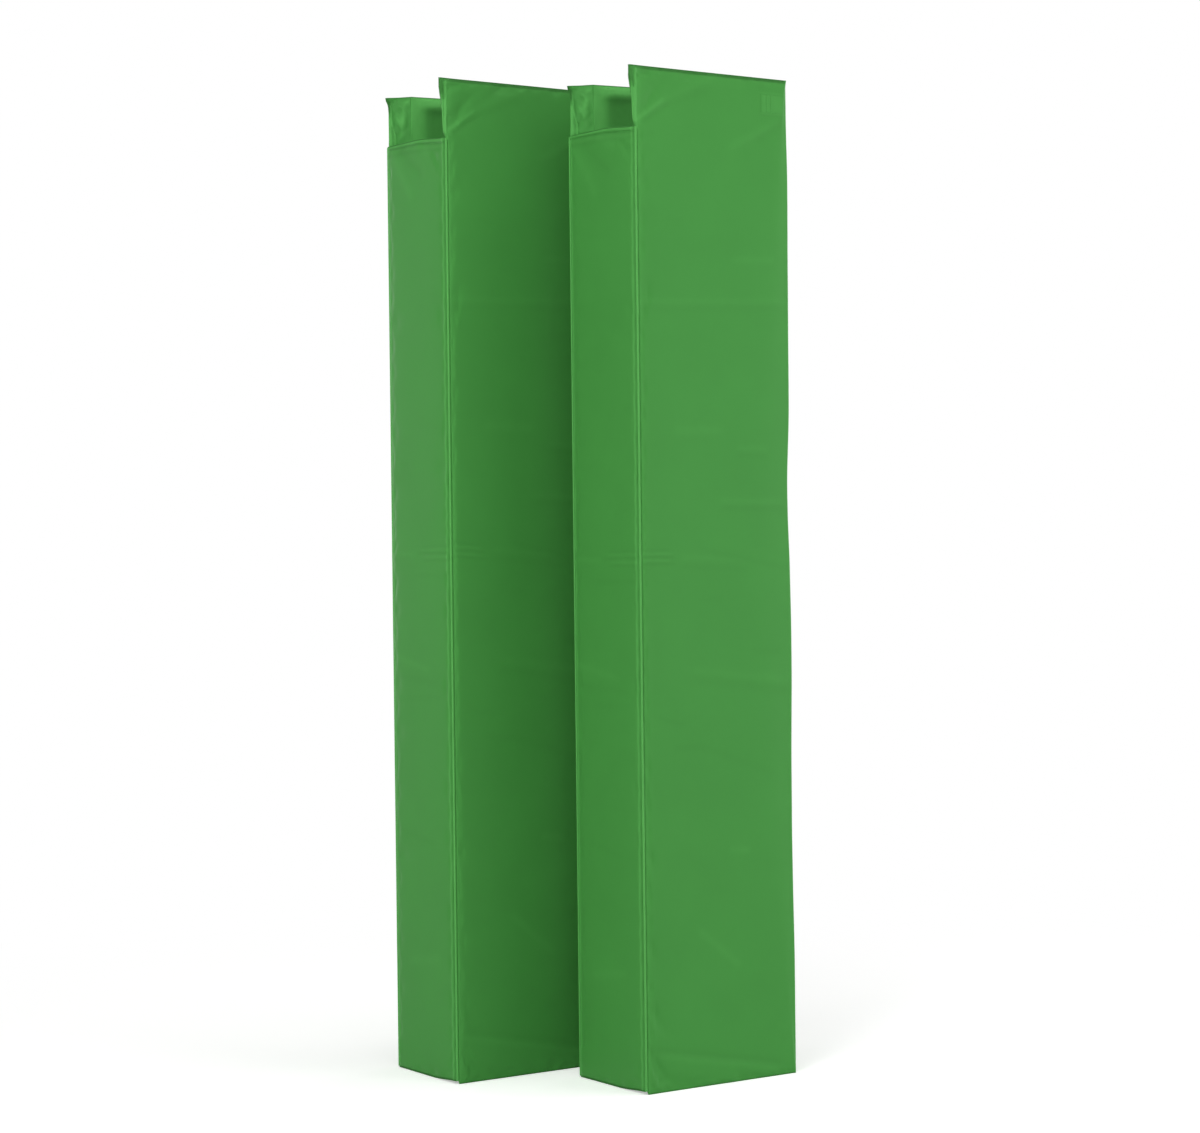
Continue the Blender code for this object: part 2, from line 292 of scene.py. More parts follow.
def reach_of(panel, inset=0.0):
    """The lowest and highest point of a panel, or of what is that far inside its ends."""
    low, high = (FRONT_LIFT, NOTCH_HEIGHT) if panel == "front" else (0.0, HEIGHT)
    return low + inset, high - inset


def panel_corners(panel, inset=0.0):
    """The panel's four corners seen from above, the sharp front one first."""
    low, high = inset, THICKNESS - inset
    slant = SLANT_SHIFT + inset * math.sqrt(2)
    if panel == "front":
        far = [(WIDTH - slant - low, low), (WIDTH - slant - high, high)]
    else:
        far = [(DEPTH - inset, low), (DEPTH - inset, high)]
    return [(slant + low, low), *far, (slant + high, high)]


def spaced(start, end, fine_places, growth, coarse):
    """Positions from start to end, as fine as each of the places asks near it."""
    place = start
    marks = [start]
    while place < end:
        step = min(fine + growth * abs(place - where) for where, fine in fine_places)
        place += min(step, coarse)
        marks.append(place)
    marks = np.array(marks)
    return start + (marks - start) * (end - start) / (marks[-1] - start)


def spaced_evenly(start, end, spacing):
    """Positions from start to end by a spacing that is fine at both."""
    fine, growth, coarse = spacing
    return spaced(start, end, ((start, fine), (end, fine)), growth, coarse)


def section(corners, radii, spacings):
    """An outline seen from above, counterclockwise from the first corner's arc. Gives each
    point, its outward direction and which side it is on, from 0 to 3, or that it is on an
    arc."""
    points, outs, sides, arcs = [], [], [], []
    for i, (u, v) in enumerate(corners):
        before, after = corners[i - 1], corners[(i + 1) % 4]
        start = math.atan2(v - before[1], u - before[0])
        turn = math.atan2(after[1] - v, after[0] - u) - start
        turn = (turn + math.pi) % (2 * math.pi) - math.pi
        setback = radii[i] * math.tan(turn / 2)
        centre_u = u - setback * math.cos(start) - radii[i] * math.sin(start)
        centre_v = v - setback * math.sin(start) + radii[i] * math.cos(start)
        steps = max(2, round(ARC_STEPS * turn / (math.pi / 2)))
        angles = start + turn * np.arange(steps + 1) / steps
        out = np.stack([np.sin(angles), -np.cos(angles)], axis=-1)
        arcs.append((np.array([centre_u, centre_v]) + radii[i] * out, out))
    for i, (places, out) in enumerate(arcs):
        begin, finish = places[-1], arcs[(i + 1) % 4][0][0]
        length = float(np.linalg.norm(finish - begin))
        marks = spaced_evenly(0.0, length, spacings[i])[1:-1]
        points += [places, begin + (finish - begin) * (marks / length)[:, None]]
        outs += [out, np.repeat(out[-1:], len(marks), axis=0)]
        sides += [ON_ARC] * (len(places) - 1) + [i] * (len(marks) + 1)
    return np.concatenate(points), np.concatenate(outs), np.array(sides)


def slope(values, start, end):
    """From 0 to 1 in a straight line, as the values go from start to end."""
    return np.clip((values - start) / (end - start), 0, 1)


def ramp(values, start=0.0, end=1.0):
    """From 0 to 1 with soft ends, as the values go from start to end."""
    share = slope(values, start, end)
    return share * share * (3 - 2 * share)


def turned_in(distance, turn):
    """How far an edge is rolled in at each distance from it, by a turn's height and depth."""
    height, depth = turn
    return depth * (1 - np.sqrt(1 - slope(distance, height, 0) ** 2))


def along_line(line, place, soften):
    """The value of a line of (place, value) points, with its corners softened."""
    table = np.array(line)
    shifts = np.linspace(-soften, soften, SOFTENING_SAMPLES)
    return np.mean([np.interp(place + d, table[:, 0], table[:, 1]) for d in shifts], axis=0)


def drawn_in(pad, panel, u, z):
    """How far a point of a side panel moves back as its back edge draws in."""
    share = BACK_LINE_SHARE.get((pad, panel), 0.0)
    near_back = slope(u, DEPTH - BACK_LINE_REACH, DEPTH) ** 2
    return share * near_back * along_line(BACK_LINE, z, BACK_LINE_SOFTENING)


def sagged(panel, u, below, above):
    """How far a point hangs below the panel's plain outline, from its place along the
    panel, below its top and above its foot."""
    if panel == "front":
        top, along, down = TOP_SAG
        foot, foot_along, up = FOOT_SAG
        drop = top * ramp(u, along, 0) * slope(below, down, 0)
        return drop + foot * ramp(u, 0, foot_along) * slope(above, up, 0)
    slump, along, down = FAR_SLUMP
    slump = slump if panel == "far_side" else 0.0
    return slump * slope(u, along, 0) * slope(below, down, 0)


def tinted(tree, colour, tone):
    """The colour, made lighter or darker by a tone near 1."""
    grey = placed(tree, "ShaderNodeCombineColor", {"Red": tone, "Green": tone, "Blue": tone})
    mix = placed(
        tree,
        "ShaderNodeMix",
        {"Factor": 1.0, "A": (*colour, 1), "B": grey},
        data_type="RGBA",
        blend_type="MULTIPLY",
    )
    return mix.outputs["Result"]


def surfaced(tree, colour, rough, height, gloss=0.5):
    """Sets a finish's colour, roughness, relief in metres and gloss level."""
    shader = tree.nodes["Principled BSDF"]
    relief = placed(tree, "ShaderNodeBump", {"Strength": 1.0, "Distance": 1.0, "Height": height})
    tree.links.new(colour, shader.inputs["Base Color"])
    tree.links.new(rough, shader.inputs["Roughness"])
    tree.links.new(relief.outputs["Normal"], shader.inputs["Normal"])
    shader.inputs["Specular IOR Level"].default_value = gloss


def outward(obj):
    """Turns a closed mesh's faces outwards."""
    bm = bmesh.new()
    bm.from_mesh(obj.data)
    bmesh.ops.recalc_face_normals(bm, faces=bm.faces)
    bm.to_mesh(obj.data)
    bm.free()


def new_piece(name, points, faces, material):
    """A smooth mesh object of one material, its faces pointing outwards."""
    piece = new_object(name, points, faces=faces)
    outward(piece)
    piece.data.shade_smooth()
    piece.data.materials.append(material)
    return piece


def tube_faces(rows, columns):
    """The faces of a grid of rows whose last column joins the first."""
    here = np.arange((rows - 1) * columns).reshape(-1, columns)
    beside = np.roll(here, -1, axis=1)
    faces = np.stack([here, beside, beside + columns, here + columns], axis=-1)
    return faces.reshape(-1, 4).tolist()


def shut_tube_faces(rows, columns):
    """The faces of such a grid, with one more across each end."""
    last = (rows - 1) * columns
    return tube_faces(rows, columns) + [list(range(columns)), list(range(last, last + columns))]


cream_foam, tree = new_finish("cream_foam")
place = placed(tree, "ShaderNodeTexCoord").outputs["Object"]
cells = placed(tree, "ShaderNodeTexVoronoi", {"Vector": place, "Scale": FOAM_CELL_SCALE})
cloud = placed(
    tree, "ShaderNodeTexNoise", {"Vector": place, "Scale": FOAM_CLOUD_SCALE, "Detail": 4.0}
)
cell = cells.outputs["Distance"]
tone = math_node(tree, "MULTIPLY_ADD", cell, -FOAM_CELL_DARKENING, FOAM_PALEST)
tone = math_node(tree, "MULTIPLY_ADD", cloud.outputs["Fac"], FOAM_CLOUDING, tone)
tone = math_node(tree, "SUBTRACT", tone, FOAM_CLOUDING / 2)
rough = math_node(tree, "MULTIPLY_ADD", cloud.outputs["Fac"], FOAM_UNEVENNESS, FOAM_ROUGHNESS)
height = math_node(tree, "MULTIPLY", cell, FOAM_CELL_DEPTH)
surfaced(tree, tinted(tree, FOAM_CREAM, tone), rough, height, DRY_GLOSS)


def foam_core(pad, panel):
    """Makes the foam of one panel."""
    corners = panel_corners(panel, WALL_TO_FOAM)
    points, outs, _ = section(corners, FOAM_RADII, [FOAM_SPACING] * 4)
    low, high = reach_of(panel, END_INSET)
    z = spaced_evenly(low, high, FOAM_ROW_SPACING)
    z = np.repeat(z[:, None], len(points), axis=1)
    ease = turned_in(np.minimum(z - low, high - z), FOAM_END_TURN)
    u = points[:, 0] - ease * outs[:, 0]
    v = points[:, 1] - ease * outs[:, 1]
    u = u + drawn_in(pad, panel, u, z)
    if panel != "front":
        free = ramp(z - NOTCH_HEIGHT, *FREE_END_START)
        u = u + FREE_END_INSET * free * slope(u - v, FREE_END_REACH, 0)
    z = z - sagged(panel, u, high - z, z - low)
    points = in_world(pad, panel, u, v, z)
    core = new_piece(f"{pad}_{panel}_foam_core", points, shut_tube_faces(*z.shape), cream_foam)
    core.data.set_sharp_from_angle(angle=SHARP_EDGE)
    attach(core, body_of(pad, panel))
    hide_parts(f"{pad}_{panel}_foam")


for pad in PADS:
    for panel in PANELS:
        foam_core(pad, panel)

# The covers: sleeves of heavy fabric coated in satin green vinyl, sewn round the foam, turned
# in at the slanted corner seams and folded square round the back. Air and slack swell them a
# little between the seams, their free top corners flare, and the folds of packing stay in them.
VINYL_GREEN = (0.060, 0.270, 0.053)
VINYL_ROUGHNESS = 0.42
VINYL_GLOSS = 0.05
# How much paler the vinyl is where a highlight is painted, by channel, and how much darker where
# shade is painted
HIGHLIGHT_GAIN = (1.6, 1.4, 1.6)
PAINTED_SHADE_LOSS = 0.45
GRAIN = {"Grain Size": 0.0009, "Scrim Pitch": 0.0016, "Tone Spread": 0.10}
GRAIN_DEPTH = 0.00005
SCRIM_DEPTH = 0.0000035
CLOUD_SCALE = 9.0
SMEAR_SCALE = 260.0
PATCH_SCALE = 70.0
# How much the smears and the broad clouding vary the roughness
SMEAR_ROUGHNESS = 0.10
CLOUD_ROUGHNESS = 0.12
# How much of the painted highlight and shade shows between patches, how much more in them, and how
# much rougher the vinyl is where a highlight and where shade is painted
PAINT_BETWEEN_PATCHES = 0.6
PAINT_IN_PATCHES = 0.8
HIGHLIGHT_ROUGHNESS = 0.12
PAINTED_SHADE_ROUGHNESS = 0.2
COVER_WALL = 0.0009
# The inside of a cover has one row or column for every so many of the outside
WALL_STEP = 4
COVER_RADII = {
    "near_side": (0.0026, 0.0040, 0.0040, 0.0040),
    "far_side": (0.0026, 0.0040, 0.0040, 0.0040),
    "front": (0.0022, 0.0026, 0.0035, 0.0035),
}
# The spacings round a sleeve: over its outer face, its inner face, a slanted seam and the back
OUTER_SPACING = (0.0028, 0.20, 0.016)
INNER_SPACING = (0.007, 0.3, 0.028)
SEAM_SPACING = (0.005, 0.3, 0.010)
BACK_SPACING = (0.005, 0.3, 0.012)
# The spacing up a sleeve: heights with the step at each, then the growth and longest step
NOTCH_ROW = (NOTCH_HEIGHT, 0.008)
PACKING_FOLD_ROW = (0.955, 0.008)
FOOT_FOLD_ROW = (0.05, 0.012)
END_STEP = 0.006
ROW_GROWTH = 0.12
LONGEST_ROW_STEP = 0.023
# How many times a grid's rows and columns are doubled
FINER = 2
# The vinyl in the simulation: light and limp, blown up a little, and cut 1.2% too large
SLACK_VINYL = {
    "quality": 5,
    "mass": 0.4,
    "tension_stiffness": 25,
    "compression_stiffness": 25,
    "shear_stiffness": 12,
    "bending_stiffness": 1.5,
    "air_damping": 4,
    "use_pressure": True,
    "uniform_pressure_force": 4,
    "shrink_min": -0.012,
}
SWELLING_STEPS = 20
# How far a face stands out in its middle, how far air and slack can add to that, and how
# near the edges of the face the swelling starts
SWELL = {"near_side": 0.0016, "far_side": 0.0016, "front": 0.0010}
MOST_BLOWN = {"near_side": 0.0026, "far_side": 0.0026, "front": 0.0016}
FLAT_MARGIN = 0.006
# How square the swelling is along a face and up it
CROWN_SQUARENESS = (4, 10)
# How freely the inner face blows up beside the outer one
INNER_BLOWN_SHARE = 0.25
# Added to the size of a move, so that no move at all can be divided by
TINY = 1e-9
# A point is on a flat face if it faces that far outwards or inwards, and it isn't on a slant
# if it faces less than that far to the front
FLAT_FACING = 0.9
SLANT_FACING = -0.3
# Sides of a cover's outline: the outer face, the end away from its sharp corner, and the slant
# at that corner
OUTER_SIDE = 0
FAR_END_SIDE = 1
SLANT_SIDE = 3
# The column of a sleeve's grid that runs up the middle of its sharp corner
TIP_COLUMN = 2
# The kind of socket that takes each kind of value
SOCKET_TYPES = {float: "NodeSocketFloat", int: "NodeSocketInt", tuple: "NodeSocketVector"}


def new_group(kind, name, inputs, outputs=()):
    """A node group, and the sockets of its entry. Each input is a name and its first value,
    each output a name. A group of geometry nodes takes in and gives out a mesh as well."""
    group = bpy.data.node_groups.new(name, kind)
    if kind == "GeometryNodeTree":
        for way in ("OUTPUT", "INPUT"):
            group.interface.new_socket("Geometry", in_out=way, socket_type="NodeSocketGeometry")
    for label, value in inputs:
        socket_type = SOCKET_TYPES[type(value)]
        socket = group.interface.new_socket(label, in_out="INPUT", socket_type=socket_type)
        socket.default_value = value
    for label in outputs:
        group.interface.new_socket(label, in_out="OUTPUT", socket_type="NodeSocketFloat")
    return group, placed(group, "NodeGroupInput").outputs


def make_vinyl_surface():
    """Group: the coated face's tone, roughness and height in metres, from Object place."""
    group, given = new_group(
        "ShaderNodeTree",
        "vinyl_surface",
        [("Grain Size", 0.001), ("Scrim Pitch", 0.0016), ("Tone Spread", 0.04)],
        ["Tone", "Rough", "Height"],
    )
    place = placed(group, "ShaderNodeTexCoord").outputs["Object"]
    grain_scale = math_node(group, "DIVIDE", 1.0, given["Grain Size"])
    pebble = placed(
        group,
        "ShaderNodeTexVoronoi",
        {"Vector": place, "Scale": grain_scale, "Smoothness": 0.6},
        feature="SMOOTH_F1",
    )
    broad = {"Vector": place, "Scale": CLOUD_SCALE, "Detail": 3.0}
    cloud = placed(group, "ShaderNodeTexNoise", broad)
    small = {"Vector": place, "Scale": SMEAR_SCALE, "Detail": 2.0}
    fine = placed(group, "ShaderNodeTexNoise", small)
    split = placed(group, "ShaderNodeSeparateXYZ", {0: place}).outputs
    turns = math_node(group, "DIVIDE", 2 * math.pi, given["Scrim Pitch"])
    across = math_node(group, "ADD", split["X"], split["Y"])
    weft = math_node(group, "SINE", math_node(group, "MULTIPLY", across, turns))
    warp = math_node(group, "SINE", math_node(group, "MULTIPLY", split["Z"], turns))
    threads = math_node(group, "ADD", weft, warp)
    spread = math_node(group, "SUBTRACT", cloud.outputs["Fac"], 0.5)
    tone = math_node(group, "MULTIPLY_ADD", spread, given["Tone Spread"], 1.0)
    rough = math_node(group, "SUBTRACT", fine.outputs["Fac"], 0.5)
    rough = math_node(group, "MULTIPLY", rough, SMEAR_ROUGHNESS)
    rough = math_node(group, "MULTIPLY_ADD", spread, CLOUD_ROUGHNESS, rough)
    pebbles = math_node(group, "MULTIPLY", pebble.outputs["Distance"], GRAIN_DEPTH)
    height = math_node(group, "MULTIPLY_ADD", threads, SCRIM_DEPTH, pebbles)
    placed(group, "NodeGroupOutput", {"Tone": tone, "Rough": rough, "Height": height})
    return group


def make_painted_light_masks():
    """Group: where a highlight or shade is painted on the vinyl, in patches, from the mesh's
    attributes.
    """
    inputs = [("Amount", 0.5), ("Scale", 60.0)]
    group, given = new_group("ShaderNodeTree", "painted_light_masks", inputs, ["Painted_highlight", "Painted_shade"])
    place = placed(group, "ShaderNodeTexCoord").outputs["Object"]
    patch_noise = placed(
        group, "ShaderNodeTexNoise", {"Vector": place, "Scale": given["Scale"], "Detail": 5.0}
    )
    patchy = math_node(
        group, "MULTIPLY_ADD", patch_noise.outputs["Fac"], PAINT_IN_PATCHES, PAINT_BETWEEN_PATCHES
    )
    masks = {}
    for label, share in (("Painted_highlight", given["Amount"]), ("Painted_shade", 1.0)):
        marks = placed(group, "ShaderNodeAttribute", attribute_name=label.lower())
        mask = math_node(group, "MULTIPLY", marks.outputs["Fac"], patchy)
        masks[label] = math_node(group, "MINIMUM", math_node(group, "MULTIPLY", mask, share), 1.0)
    placed(group, "NodeGroupOutput", masks)
    return group


vinyl_surface = make_vinyl_surface()
painted_light_masks = make_painted_light_masks()


def make_vinyl(name, colour, roughness, highlight_amount):
    """A vinyl finish whose tone, roughness and grain come from the shared groups."""
    material, tree = new_finish(name)
    surface = placed(tree, "ShaderNodeGroup", GRAIN, node_tree=vinyl_surface).outputs
    painted_light_inputs = {"Amount": highlight_amount, "Scale": PATCH_SCALE}
    painted_light = placed(tree, "ShaderNodeGroup", painted_light_inputs, node_tree=painted_light_masks).outputs
    # Painted shade: the tone darkens where the shade mask is set. Painted highlight: the colour
    # turns paler where the highlight mask is set.
    painted_darkening = math_node(tree, "MULTIPLY_ADD", painted_light["Painted_shade"], -PAINTED_SHADE_LOSS, 1.0)
    tone = math_node(tree, "MULTIPLY", surface["Tone"], painted_darkening)
    pale = [channel * gain for channel, gain in zip(colour, HIGHLIGHT_GAIN)]
    highlighted = placed(
        tree,
        "ShaderNodeMix",
        {"Factor": painted_light["Painted_highlight"], "A": tinted(tree, colour, tone), "B": (*pale, 1)},
        data_type="RGBA",
    )
    rough = math_node(tree, "ADD", surface["Rough"], roughness)
    rough = math_node(tree, "MULTIPLY_ADD", painted_light["Painted_highlight"], HIGHLIGHT_ROUGHNESS, rough)
    rough = math_node(tree, "MULTIPLY_ADD", painted_light["Painted_shade"], PAINTED_SHADE_ROUGHNESS, rough)
    surfaced(tree, highlighted.outputs["Result"], rough, surface["Height"], VINYL_GLOSS)
    return material


green_vinyl = make_vinyl("green_vinyl", VINYL_GREEN, VINYL_ROUGHNESS, 1.0)


def midway(values, cyclic):
    """The rows with, between each two, the row that a smooth curve through them gives."""
    if cyclic:
        more = np.concatenate([values[-1:], values, values[:2]])
    else:
        first = 2 * values[:1] - values[1:2]
        last = 2 * values[-1:] - values[-2:-1]
        more = np.concatenate([first, values, last])
    between = (9 * (more[1:-2] + more[2:-1]) - more[:-3] - more[3:]) / 16
    made = np.empty((len(values) + len(between), *values.shape[1:]))
    made[0::2] = values
    made[1::2] = between
    return made


def finer(values):
    """A grid of rows up and columns round, made finer both ways."""
    for _ in range(FINER):
        values = midway(values, False)
        values = np.swapaxes(midway(np.swapaxes(values, 0, 1), True), 0, 1)
    return values


def cover_grid(panel):
    """A panel's outline with its outward directions and sides, and the heights of its rows."""
    back = SEAM_SPACING if panel == "front" else BACK_SPACING
    spacings = [OUTER_SPACING, back, INNER_SPACING, SEAM_SPACING]
    points, outs, sides = section(panel_corners(panel), COVER_RADII[panel], spacings)
    low, high = reach_of(panel, END_INSET)
    rows = ((low, END_STEP), (high, END_STEP), NOTCH_ROW, PACKING_FOLD_ROW, FOOT_FOLD_ROW)
    return points, outs, sides, spaced(low, high, rows, ROW_GROWTH, LONGEST_ROW_STEP)


cover_grids = {panel: cover_grid(panel) for panel in PANELS}


def plain_sleeve(panel):
    """The points of a panel's cover before it swells, in rows up and columns round."""
    points, _, _, heights = cover_grids[panel]
    return np.stack(np.broadcast_arrays(*points.T, heights[:, None]), axis=-1)


def loose_sleeve(panel):
    """A bare sleeve of a panel's cover, with its sewn edges pinned, for the simulation."""
    _, _, sides, heights = cover_grids[panel]
    places = plain_sleeve(panel)
    faces = tube_faces(*places.shape[:2])
    sleeve = new_piece(f"loose_{panel}", places, faces, green_vinyl)
    seam = (sides == SLANT_SIDE) | ((sides == FAR_END_SIDE) & (panel == "front"))
    seam[TIP_COLUMN] = True
    sewn = seam & (heights[:, None] < NOTCH_HEIGHT)
    sewn[[0, -1]] = True
    group = sleeve.vertex_groups.new(name="sewn")
    group.add(np.nonzero(sewn.ravel())[0].tolist(), 1.0, "REPLACE")
    cloth = sleeve.modifiers.new("air_and_slack", "CLOTH")
    for setting, value in SLACK_VINYL.items():
        setattr(cloth.settings, setting, value)
    cloth.settings.vertex_group_mass = "sewn"
    cloth.settings.effector_weights.gravity = 0
    cloth.collision_settings.use_collision = False
    return sleeve, places


def blown_covers():
    """How far each point of the plain sleeves moves as air and slack swell them. The far side's
    cover swells as the near side's does."""
    moves = {panel: np.zeros_like(plain_sleeve(panel)) for panel in PANELS}
    sleeves = {panel: loose_sleeve(panel) for panel in ("near_side", "front")}
    for step in range(1, SWELLING_STEPS + 1):
        bpy.context.scene.frame_set(step)
    depsgraph = bpy.context.evaluated_depsgraph_get()
    for panel, (sleeve, places) in sleeves.items():
        settled = sleeve.evaluated_get(depsgraph).data
        coordinates = np.empty(places.size, np.float32)
        settled.vertices.foreach_get("co", coordinates)
        moves[panel] = coordinates.reshape(places.shape) - places
        mesh = sleeve.data
        bpy.data.objects.remove(sleeve)
        bpy.data.meshes.remove(mesh)
    bpy.context.scene.frame_set(1)
    moves["far_side"] = moves["near_side"]
    return moves


blown = blown_covers()

# Folds and dents on the outer faces: where each starts and ends, its height and its width.
# The first group is what the sewn corner pulls into a side's top, the second its packing folds.
CORNER_PULLS = (
    (0.003, 1.732, 0.059, 1.772, 0.00075, 0.0046),
    (0.059, 1.772, 0.173, 1.821, 0.00020, 0.0085),
    (0.014, 1.729, 0.073, 1.765, -0.00060, 0.0050),
    (0.073, 1.765, 0.160, 1.797, -0.00025, 0.0080),
    (0.201, 1.695, 0.314, 1.748, 0.00030, 0.0085),
    (0.264, 1.710, 0.326, 1.747, -0.00035, 0.0070),
    (0.004, 1.700, 0.040, 1.712, -0.00020, 0.0050),
)
SIDE_FOLDS = (
    (0.004, 1.411, 0.324, 1.422, 0.00024, 0.0060),
    (0.004, 1.397, 0.320, 1.408, -0.00024, 0.0060),
    (0.062, 1.558, 0.100, 1.560, -0.00026, 0.0050),
    (0.209, 1.493, 0.302, 1.496, 0.00028, 0.0060),
    (0.077, 1.183, 0.180, 1.184, 0.00028, 0.0090),
    (0.214, 1.152, 0.284, 1.151, 0.00026, 0.0060),
    (0.213, 1.139, 0.284, 1.138, -0.00028, 0.0055),
    (0.177, 1.056, 0.329, 1.054, 0.00028, 0.0060),
    (0.177, 1.042, 0.329, 1.040, -0.00030, 0.0060),
    (0.004, 0.969, 0.062, 0.968, -0.00034, 0.0028),
    (0.004, 0.962, 0.066, 0.961, 0.00030, 0.0028),
    (0.004, 0.956, 0.070, 0.955, -0.00036, 0.0028),
    (0.004, 0.950, 0.062, 0.949, 0.00030, 0.0028),
    (0.004, 0.943, 0.074, 0.942, -0.00034, 0.0030),
    (0.090, 0.955, 0.220, 0.950, 0.00022, 0.0060),
    (0.080, 0.937, 0.240, 0.930, -0.00024, 0.0060),
    (0.141, 0.967, 0.327, 0.930, -0.00026, 0.0060),
    (0.128, 0.880, 0.174, 0.879, -0.00022, 0.0060),
    (0.242, 0.782, 0.312, 0.780, -0.00028, 0.0080),
    (0.103, 0.752, 0.323, 0.726, 0.00022, 0.0080),
    (0.103, 0.737, 0.323, 0.705, -0.00032, 0.0090),
    (0.034, 0.672, 0.062, 0.660, -0.00034, 0.0060),
    (0.062, 0.660, 0.090, 0.656, -0.00034, 0.0065),
    (0.067, 0.613, 0.123, 0.614, -0.00034, 0.0060),
    (0.123, 0.614, 0.192, 0.593, -0.00030, 0.0065),
    (0.192, 0.593, 0.296, 0.554, -0.00026, 0.0070),
    (0.188, 0.424, 0.235, 0.421, 0.00032, 0.0065),
    (0.117, 0.285, 0.208, 0.213, 0.00032, 0.0075),
    (0.001, 0.082, 0.310, 0.023, -0.00042, 0.0070),
    (0.020, 0.068, 0.300, 0.012, 0.00032, 0.0070),
)
FRONT_FOLDS = (
    (0.162, 1.705, 0.080, 1.647, -0.00050, 0.0100),
    (0.196, 1.705, 0.120, 1.612, 0.00034, 0.0120),
    (0.120, 1.716, 0.060, 1.690, 0.00026, 0.0090),
    (0.004, 0.967, 0.090, 0.966, -0.00030, 0.0028),
    (0.004, 0.960, 0.100, 0.959, 0.00026, 0.0028),
    (0.004, 0.954, 0.110, 0.953, -0.00034, 0.0028),
    (0.004, 0.947, 0.085, 0.946, 0.00028, 0.0028),
    (0.004, 0.941, 0.090, 0.940, -0.00030, 0.0030),
    (0.120, 0.951, 0.200, 0.952, 0.00024, 0.0050),
    (0.004, 0.913, 0.130, 0.911, -0.00024, 0.0050),
    (0.140, 1.118, 0.170, 1.118, -0.00022, 0.0070),
    (0.213, 0.762, 0.073, 0.739, 0.00028, 0.0070),
    (0.205, 0.724, 0.040, 0.715, -0.00028, 0.0070),
    (0.030, 0.690, 0.150, 0.686, -0.00024, 0.0070),
    (0.060, 0.420, 0.170, 0.436, -0.00024, 0.0080),
    (0.050, 0.210, 0.160, 0.196, 0.00026, 0.0080),
)
# How much higher the packing folds are on the left pad, and on any far side, how much of
# that reaches a fold's end, and how deep such a fold is beside one that isn't moved
SIDE_FOLD_SHIFT = {"right_pad": 0.0, "left_pad": 0.017}
FAR_FOLD_SHIFT = 0.031
FOLD_END_SHARE = 0.7
SHIFTED_FOLD_DEPTH = 0.85
FRONT_FOLD_SHIFT = {"right_pad": 0.0, "left_pad": 0.013}
# The pinched end of a wall above the notch: places across it, from its tip, and below its
# top, then height, width across and length of each dent or swelling
END_DENTS = (
    (0.0250, 0.048, 0.0020, 0.0060, 0.0190),
    (0.0200, 0.027, -0.0018, 0.0050, 0.0050),
    (0.0350, 0.058, -0.0016, 0.0050, 0.0240),
    (0.0150, 0.071, -0.0018, 0.0040, 0.0110),
    (0.0430, 0.040, 0.0012, 0.0040, 0.0260),
    (0.0300, 0.012, 0.0014, 0.0120, 0.0060),
)
END_FOLDS = (
    (0.0016, 0.014, 0.0026, 0.045, 0.0030, 0.0014),
    (0.0026, 0.045, 0.0056, 0.060, 0.0032, 0.0014),
    (0.0056, 0.060, 0.0098, 0.078, 0.0032, 0.0014),
    (0.0098, 0.078, 0.0104, 0.100, 0.0032, 0.0015),
    (0.0072, 0.030, 0.0100, 0.058, -0.0012, 0.0018),
    (0.0470, 0.004, 0.0475, 0.090, 0.0022, 0.0018),
    (0.0130, 0.040, 0.0240, 0.066, 0.0010, 0.0028),
    (0.0180, 0.016, 0.0300, 0.034, 0.0008, 0.0028),
)
# How strongly a painted highlight follows the end's swellings, and painted shade its dents
END_PAINTED_LIGHT = (0.8, 0.3)
# How much of its length a fold takes to fade, before and past each end
FOLD_FADE = 0.1
# Uneven waves: their height, their size along and up, their lean, and which draw they are
SIDE_WAVES = ((0.00035, 0.13, 0.10, 0.2, 0), (0.00012, 0.045, 0.014, 0.3, 50))
FRONT_WAVES = ((0.00030, 0.11, 0.10, 0.2, 0), (0.00010, 0.045, 0.014, 0.3, 50))
INNER_WAVES = ((0.0007, 0.11, 0.09, -0.2, 20),)
END_WAVES = ((0.0008, 0.010, 0.013, 0.5, 70),)
# The square of random heights that waves are drawn from: its size, and where a face starts
WAVE_LATTICE = 160
LATTICE_START = (40, 10)
# How far apart the draws of the two pads are, and those of hooks and loops, and a front's draw
SEED_STEP = 10
FRONT_SEED = 3


def fold(u, z, start_u, start_z, end_u, end_z, height, width):
    """A straight fold's height over a face: rounded across, fading at both ends."""
    length = math.hypot(end_u - start_u, end_z - start_z)
    along_u, along_z = (end_u - start_u) / length, (end_z - start_z) / length
    share = ((u - start_u) * along_u + (z - start_z) * along_z) / length
    off = (z - start_z) * along_u - (u - start_u) * along_z
    fade = slope(share, -FOLD_FADE, FOLD_FADE) * slope(share, 1 + FOLD_FADE, 1 - FOLD_FADE)
    return height * ramp(fade) * np.exp(-((off / width) ** 2))


def waves(u, z, seed, rows):
    """Smooth uneven waves over a face, all the rows of them together."""
    total = np.zeros_like(u)
    for height, size_u, size_z, lean, draw in rows:
        random = np.random.default_rng(seed + draw)
        lattice = random.uniform(-1, 1, (WAVE_LATTICE, WAVE_LATTICE))
        along = (u + lean * z) / size_u + LATTICE_START[0]
        up = z / size_z + LATTICE_START[1]
        column, row = np.floor(along).astype(int), np.floor(up).astype(int)
        right, over = ramp(along - column), ramp(up - row)
        column, row = column % (WAVE_LATTICE - 1), row % (WAVE_LATTICE - 1)
        low = lattice[column, row] * (1 - right) + lattice[column + 1, row] * right
        high = lattice[column, row + 1] * (1 - right) + lattice[column + 1, row + 1] * right
        total += height * (low * (1 - over) + high * over)
    return total


